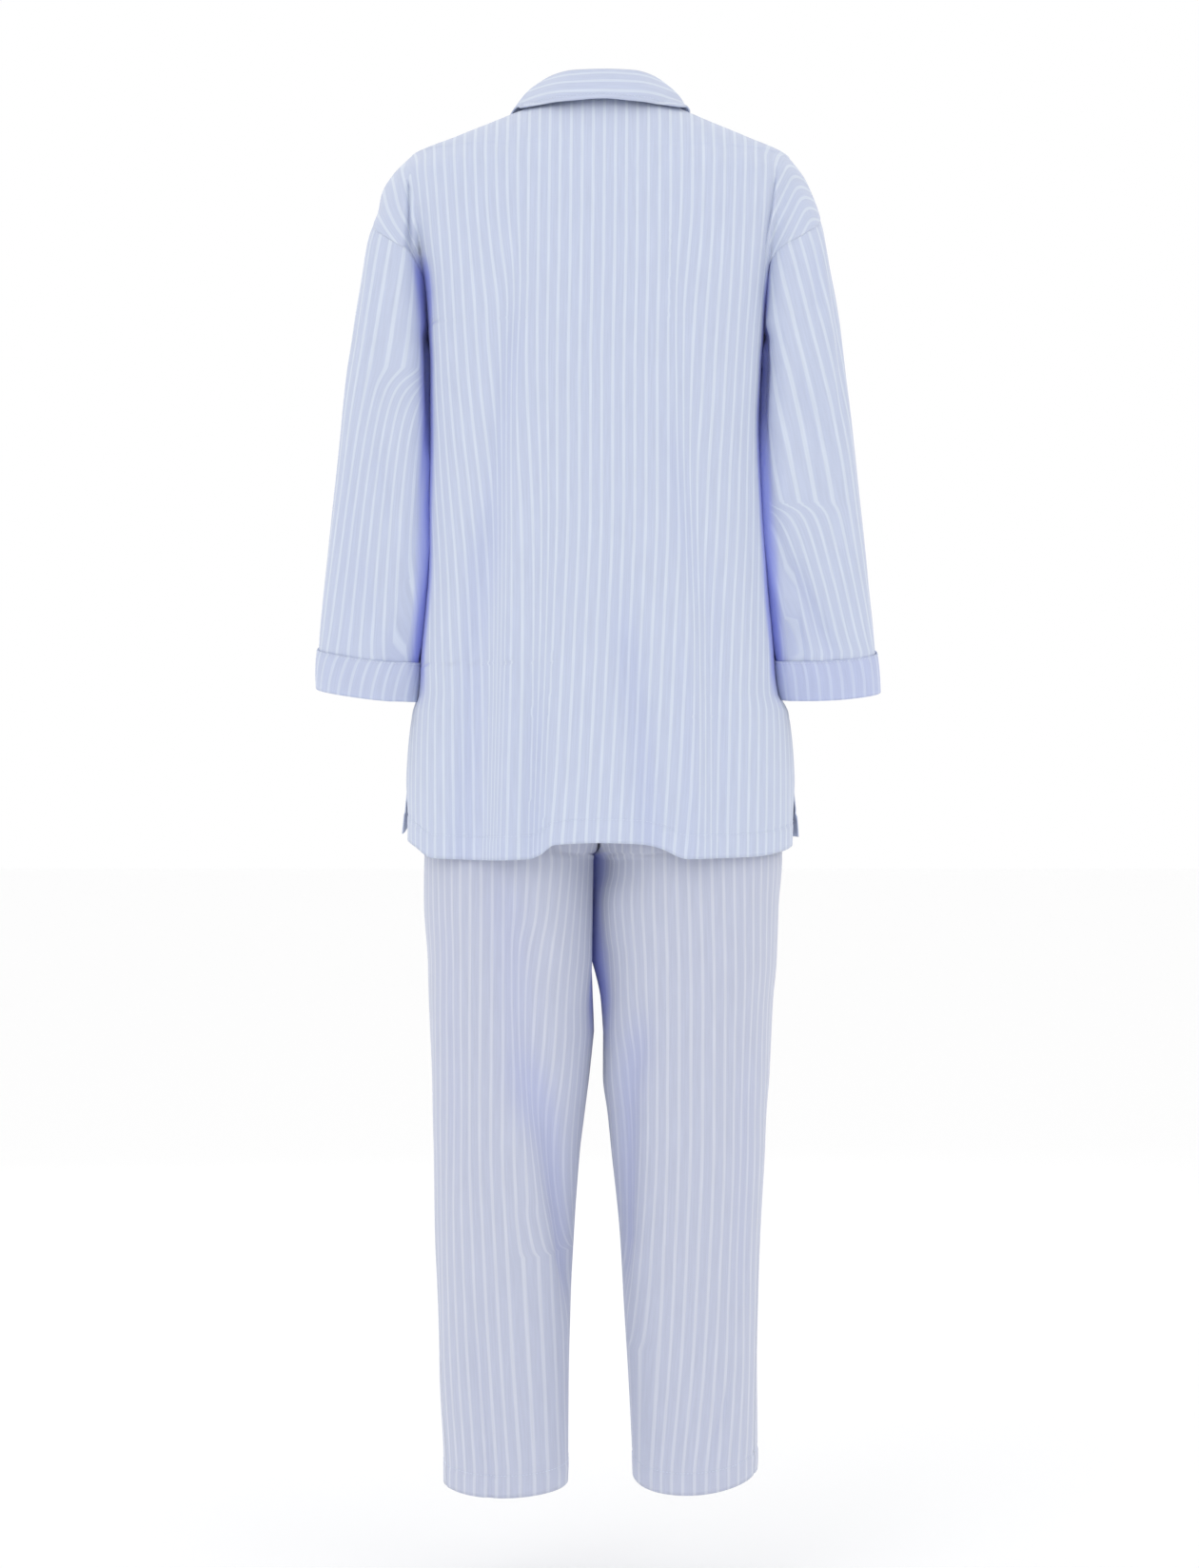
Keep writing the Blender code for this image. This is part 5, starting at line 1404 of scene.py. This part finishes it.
def button(index, level, finish, thread):
    """A four-hole button with a rim and a sunk middle, sewn on with crossed thread."""
    y = -torso_at(level)["front"] - LAP_STEP - FRONT_WALL - BUTTON_GAP
    x = float(curve(TORSO, "shift", level))
    bpy.ops.object.select_all(action="DESELECT")
    bpy.ops.mesh.primitive_cylinder_add(
        vertices=48, radius=BUTTON_RADIUS, depth=BUTTON_THICK * 0.9, end_fill_type="NGON",
        location=(x, y - BUTTON_THICK / 2, level), rotation=(math.pi / 2, 0.0, 0.0),
    )
    made = bpy.context.object
    made.name = f"button_{index}_shell"
    bpy.ops.object.transform_apply(location=True, rotation=True, scale=True)
    bpy.ops.object.mode_set(mode="EDIT")
    bpy.ops.mesh.select_all(action="DESELECT")
    bpy.ops.mesh.select_mode(type="FACE")
    bpy.ops.object.mode_set(mode="OBJECT")
    for face in made.data.polygons:
        face.select = face.normal.y < -0.9
    bpy.ops.object.mode_set(mode="EDIT")
    bpy.ops.mesh.inset(thickness=0.0012, depth=0.0)
    bpy.ops.mesh.inset(thickness=0.0007, depth=-0.0006)
    bpy.ops.object.mode_set(mode="OBJECT")
    cutters = []
    for cx, cz in ((1, 1), (1, -1), (-1, 1), (-1, -1)):
        bpy.ops.mesh.primitive_cylinder_add(
            vertices=12, radius=0.0007, depth=0.02, rotation=(math.pi / 2, 0.0, 0.0),
            location=(x + cx * 0.00115, y, level + cz * 0.00115),
        )
        cutters.append(bpy.context.object)
    bpy.ops.object.select_all(action="DESELECT")
    for cutter in cutters:
        cutter.select_set(True)
    bpy.context.view_layer.objects.active = cutters[0]
    bpy.ops.object.join()
    holes = made.modifiers.new("holes", "BOOLEAN")
    holes.object = cutters[0]
    holes.solver = "EXACT"
    rounded = made.modifiers.new("rounded", "BEVEL")
    rounded.width = 0.00035
    rounded.segments = 2
    rounded.limit_method = "ANGLE"
    apply_modifiers(made)
    bpy.data.objects.remove(cutters[0])
    bpy.ops.object.select_all(action="DESELECT")
    bpy.context.view_layer.objects.active = made
    made.select_set(True)
    bpy.ops.object.shade_smooth_by_angle(angle=math.radians(40))
    made.data.materials.clear()
    made.data.materials.append(finish)
    made.select_set(False)
    sewing = sewn_thread(index, x, y, level, thread)
    return made, sewing


def sewn_thread(index, x, y, level, thread):
    """Crossed thread through a button's holes."""
    lines = []
    face = y - BUTTON_THICK * 0.62
    for a, b in (((-1, -1), (1, 1)), ((-1, 1), (1, -1))):
        start = np.array([x + a[0] * 0.00115, face, level + a[1] * 0.00115])
        end = np.array([x + b[0] * 0.00115, face, level + b[1] * 0.00115])
        out = np.array([[0.0, -1.0, 0.0], [0.0, -1.0, 0.001]])
        lines.append((np.linspace(start, end, 4), out))
    size = {"stitch": 0.0030, "gap": 0.0002, "radius": 0.0003, "proud": 0.0004}
    crossing = stitched(f"button_{index}_thread", lines, thread, **size)
    return crossing


def buttonhole(index, level, thread):
    """A worked hole in the outer front: close stitches down both sides of a slit."""
    lines = []
    x = 0.0
    for side in (-1, 1):
        for z in np.arange(level - 0.0085, level + 0.0085, 0.0006):
            size = torso_at(z)
            y = -size["front"] - LAP_STEP - CLOTH_THICK / 2
            shift = float(curve(TORSO, "shift", z))
            start = np.array([x + shift + side * 0.0003, y, z])
            end = np.array([x + shift + side * 0.0017, y, z + 0.0001])
            lines.append((np.linspace(start, end, 3), np.array([[0.0, -1.0, 0.0], [0.0, -1.0, 0.001]])))
    size = {"stitch": 0.0013, "gap": 0.0001, "radius": 0.00025, "proud": 0.0002}
    return stitched(f"buttonhole_{index}", lines, thread, **size)


# ------------------------------------------------------------------ finishes
def colour(code):
    """An sRGB hex code as linear RGBA."""
    values = [int(code[k : k + 2], 16) / 255 for k in (1, 3, 5)]
    linear = [v / 12.92 if v <= 0.04045 else ((v + 0.055) / 1.055) ** 2.4 for v in values]
    return (*linear, 1.0)


def add(tree, kind, inputs=None, **settings):
    """One node with its settings; inputs holds values, or the sockets that feed it."""
    node = tree.nodes.new(kind)
    for name, value in settings.items():
        setattr(node, name, value)
    for name, value in (inputs or {}).items():
        if isinstance(value, bpy.types.NodeSocket):
            tree.links.new(value, node.inputs[name])
        else:
            node.inputs[name].default_value = value
    return node


STRIPE_CORE = 0.0009
STRIPE_EDGE = 0.0021
GROUND = "#c3cbe0"
STRIPE = "#d1d9e8"
# Painted shade: the darker blue that the colour is deepened towards where shade falls, and how far it goes in
# the folds of the top and sleeves, in the folds of the trousers, and on the cuffs.
PAINTED_SHADE_BLUE = "#9ca6e4"
PAINTED_FOLD_SHADE = 0.10
PAINTED_LEG_FOLD_SHADE = 0.24
TROUSER_GROUND = "#bfc4d7"
TROUSER_STRIPE = "#cdd1df"
PAINTED_CUFF_SHADE = {LEFT: 0.08, RIGHT: 0.22}


def striped_poplin(name, ground=GROUND, stripe=STRIPE):
    """Yarn-dyed cotton poplin: a close plain weave, matt, smooth and even, with soft-edged stripes."""
    made = bpy.data.materials.new(name)
    made.use_nodes = True
    tree = made.node_tree
    surface = tree.nodes["Principled BSDF"]
    cloth = add(tree, "ShaderNodeUVMap", uv_map="cloth")
    place = add(tree, "ShaderNodeSeparateXYZ", {0: cloth.outputs[0]})
    u, v = place.outputs[0], place.outputs[1]
    counted = add(tree, "ShaderNodeMath", {0: u, 1: 1.0 / PERIOD}, operation="MULTIPLY")
    moved = add(tree, "ShaderNodeMath", {0: counted.outputs[0], 1: 0.5}, operation="ADD")
    turn = add(tree, "ShaderNodeMath", {0: moved.outputs[0]}, operation="FRACT")
    centred = add(tree, "ShaderNodeMath", {0: turn.outputs[0], 1: 0.5}, operation="SUBTRACT")
    distance = add(tree, "ShaderNodeMath", {0: centred.outputs[0]}, operation="ABSOLUTE")
    white = add(
        tree, "ShaderNodeMapRange",
        {
            "Value": distance.outputs[0], "From Min": STRIPE_CORE / PERIOD, "From Max": STRIPE_EDGE / PERIOD,
            "To Min": 1.0, "To Max": 0.0,
        },
        interpolation_type="SMOOTHSTEP",
    )
    # Slubs: single yarns a shade deeper or paler, drawn 1.5 mm wide so that they show.
    stretched = add(tree, "ShaderNodeMapping", {"Vector": cloth.outputs[0], "Scale": (660.0, 22.0, 1.0)})
    slub = add(tree, "ShaderNodeTexNoise", {"Vector": stretched.outputs[0], "Scale": 1.0, "Detail": 2.0})
    shade = add(
        tree, "ShaderNodeMapRange",
        {"Value": slub.outputs[0], "From Min": 0.3, "From Max": 0.7, "To Min": 0.965, "To Max": 1.035},
    )
    mixed = add(
        tree, "ShaderNodeMix",
        {0: white.outputs[0], 6: colour(ground), 7: colour(stripe)},
        data_type="RGBA",
    )
    # Painted shade: by the painted_shade map, the cloth's colour is deepened towards a darker blue in folds,
    # in the slits beside the arms, on the cuffs and between the legs, where shade falls.
    lies = add(tree, "ShaderNodeUVMap", uv_map="painted_shade")
    painted_shade = add(tree, "ShaderNodeSeparateXYZ", {0: lies.outputs[0]})
    deeper = add(
        tree, "ShaderNodeMix",
        {0: painted_shade.outputs[0], 6: mixed.outputs[2], 7: colour(PAINTED_SHADE_BLUE)},
        data_type="RGBA",
    )
    tinted = add(
        tree, "ShaderNodeVectorMath",
        {0: deeper.outputs[2], "Scale": shade.outputs[0]},
        operation="SCALE",
    )
    tree.links.new(tinted.outputs[0], surface.inputs["Base Color"])
    # The weave, drawn at 0.9 mm, three times as coarse as the threads, so that it shows close up.
    fine = add(tree, "ShaderNodeMapping", {"Vector": cloth.outputs[0], "Scale": (1100.0, 1100.0, 1.0)})
    weave = add(tree, "ShaderNodeTexChecker", {"Vector": fine.outputs[0], "Scale": 1.0})
    crumple = add(tree, "ShaderNodeMapping", {"Vector": cloth.outputs[0], "Scale": (95.0, 45.0, 1.0)})
    worn = add(
        tree, "ShaderNodeTexNoise",
        {"Vector": crumple.outputs[0], "Scale": 1.0, "Detail": 3.0, "Roughness": 0.5},
    )
    height = add(
        tree, "ShaderNodeMath",
        {0: weave.outputs[1], 1: 0.08, 2: worn.outputs[0]},
        operation="MULTIPLY_ADD",
    )
    relief = add(tree, "ShaderNodeBump", {"Height": height.outputs[0], "Strength": 0.35, "Distance": 0.0012})
    tree.links.new(relief.outputs[0], surface.inputs["Normal"])
    surface.inputs["Subsurface Weight"].default_value = 0.35
    surface.inputs["Subsurface Radius"].default_value = (1.0, 1.0, 1.0)
    surface.inputs["Subsurface Scale"].default_value = 0.0016
    surface.inputs["Roughness"].default_value = 0.88
    surface.inputs["Sheen Weight"].default_value = 0.12
    surface.inputs["Sheen Roughness"].default_value = 0.5
    surface.inputs["Specular IOR Level"].default_value = 0.25
    return made


def sewing_thread(name, code="#d6def0"):
    """Polyester sewing thread: two plies twisted, with a slight gloss."""
    made = bpy.data.materials.new(name)
    made.use_nodes = True
    tree = made.node_tree
    surface = tree.nodes["Principled BSDF"]
    place = add(tree, "ShaderNodeTexCoord")
    grain = add(tree, "ShaderNodeTexNoise", {"Vector": place.outputs["Object"], "Scale": 2200.0})
    shade = add(tree, "ShaderNodeMapRange", {"Value": grain.outputs[0], "To Min": 0.9, "To Max": 1.08})
    tinted = add(
        tree, "ShaderNodeVectorMath",
        {0: colour(code)[:3], "Scale": shade.outputs[0]},
        operation="SCALE",
    )
    tree.links.new(tinted.outputs[0], surface.inputs["Base Color"])
    surface.inputs["Roughness"].default_value = 0.55
    return made


def pearl_resin(name):
    """Polyester resin button: cloudy white through its depth, polished."""
    made = bpy.data.materials.new(name)
    made.use_nodes = True
    tree = made.node_tree
    surface = tree.nodes["Principled BSDF"]
    place = add(tree, "ShaderNodeTexCoord")
    cloud = add(
        tree, "ShaderNodeTexNoise",
        {"Vector": place.outputs["Object"], "Scale": 260.0, "Detail": 2.0, "Distortion": 1.5},
    )
    mixed = add(
        tree, "ShaderNodeMix",
        {0: cloud.outputs[0], 6: colour("#dfe4ee"), 7: colour("#f6f5f2")},
        data_type="RGBA",
    )
    tree.links.new(mixed.outputs[2], surface.inputs["Base Color"])
    surface.inputs["Roughness"].default_value = 0.22
    surface.inputs["IOR"].default_value = 1.55
    surface.inputs["Coat Weight"].default_value = 0.3
    return made


def painted_board(name, code):
    made = bpy.data.materials.new(name)
    made.use_nodes = True
    surface = made.node_tree.nodes["Principled BSDF"]
    surface.inputs["Base Color"].default_value = colour(code)
    surface.inputs["Roughness"].default_value = 0.95
    surface.inputs["Specular IOR Level"].default_value = 0.1
    return made


# ------------------------------------------------------------------ the studio
def studio():
    """A pale floor, a white sky all round, soft lights and the camera."""
    bpy.ops.object.select_all(action="DESELECT")
    bpy.ops.mesh.primitive_plane_add(size=1.0, location=(0.0, 0.0, FLOOR))
    floor = bpy.context.object
    floor.name = "studio_floor"
    floor.scale = (60.0, 60.0, 1.0)
    bpy.ops.object.transform_apply(location=True, rotation=True, scale=True)
    floor.data.materials.append(painted_board("matt_white_floor", "#fdfdfd"))
    world = bpy.data.worlds.new("studio_air")
    bpy.context.scene.world = world
    world.use_nodes = True
    sky = world.node_tree.nodes["Background"]
    sky.inputs["Color"].default_value = (1.0, 1.0, 1.0, 1.0)
    sky.inputs["Strength"].default_value = 1.0
    lamps = (
        ("key", (1.9, 3.4, 1.3), 2.2, 14.0),
        ("fill", (-2.6, 2.6, 0.4), 2.6, 5.0),
        ("front_fill", (0.4, -3.4, 0.6), 2.4, 5.0),
    )
    for name, place, size, watts in lamps:
        light = bpy.data.lights.new(name, "AREA")
        light.energy = watts
        light.size = size
        lamp = bpy.data.objects.new(name, light)
        bpy.context.scene.collection.objects.link(lamp)
        lamp.location = place
        way = np.array([0.0, 0.0, -0.65]) - np.array(place)
        lamp.rotation_euler = (
            math.atan2(math.hypot(way[0], way[1]), -way[2]), 0.0, math.atan2(-way[0], way[1]),
        )
    camera = bpy.data.cameras.new("camera")
    camera.lens = SENSOR * CAMERA_DISTANCE / VIEW_HEIGHT
    camera.sensor_width = SENSOR
    eye = bpy.data.objects.new("camera", camera)
    bpy.context.scene.collection.objects.link(eye)
    eye.location = (0.0, CAMERA_DISTANCE, CAMERA_HEIGHT)
    eye.rotation_euler = (math.pi / 2, 0.0, math.pi)
    bpy.context.scene.camera = eye
    bpy.context.scene.view_settings.view_transform = "Standard"


# ------------------------------------------------------------------ the whole set
def take_place(made, node):
    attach(made, "root")
    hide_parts(node)


def main():
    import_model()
    bpy.ops.object.select_all(action="DESELECT")
    poplin = striped_poplin("striped_cotton_poplin")
    greyer = striped_poplin("striped_cotton_poplin_trousers", TROUSER_GROUND, TROUSER_STRIPE)
    thread = sewing_thread("sewing_thread")
    resin = pearl_resin("pearl_resin")

    back, back_grid = top_back(poplin)
    pieces = {"top_back": (back, (0.56, 0.76), 0.40)}
    grids = {"top_back": back_grid}
    for side, word in ((LEFT, "left"), (RIGHT, "right")):
        for node, (made, grid), flat, area in (
            (f"top_front_{word}", top_front(side, poplin), (0.30, 0.74), 0.20),
            (f"front_facing_{word}", facing(side, poplin), (0.07, 0.14), 0.0045),
            (f"sleeve_{word}", sleeve(side, poplin), (0.44, 0.48), 0.19),
            (f"cuff_{word}", cuff(side, poplin), (0.32, 0.04), None),
            (f"trouser_back_{word}", trouser(side, BACK, greyer), (0.30, 0.94), 0.24),
            (f"trouser_front_{word}", trouser(side, FRONT, greyer), (0.30, 0.94), 0.24),
        ):
            pieces[node] = (made, flat, area)
            grids[node] = grid
    made, grid = collar(poplin)
    pieces["collar"] = (made, (0.42, 0.075), None)
    grids["collar"] = grid
    made, grid = waistband(greyer)
    pieces["waistband"] = (made, (0.80, 0.034), None)
    grids["waistband"] = grid

    for node, (made, flat, area) in pieces.items():
        sewing = edge_stitches(node, grids[node], thread)
        take_place(made, node)
        for row in sewing:
            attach(row, "root")
    for index, level in enumerate(BUTTON_LEVELS, 1):
        made, sewing = button(index, level, resin, thread)
        hole = buttonhole(index, level, thread)
        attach(made, "root")
        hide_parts(f"button_{index}")
        for extra in (sewing, hole):
            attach(extra, "root")

    studio()
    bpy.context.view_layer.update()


main()
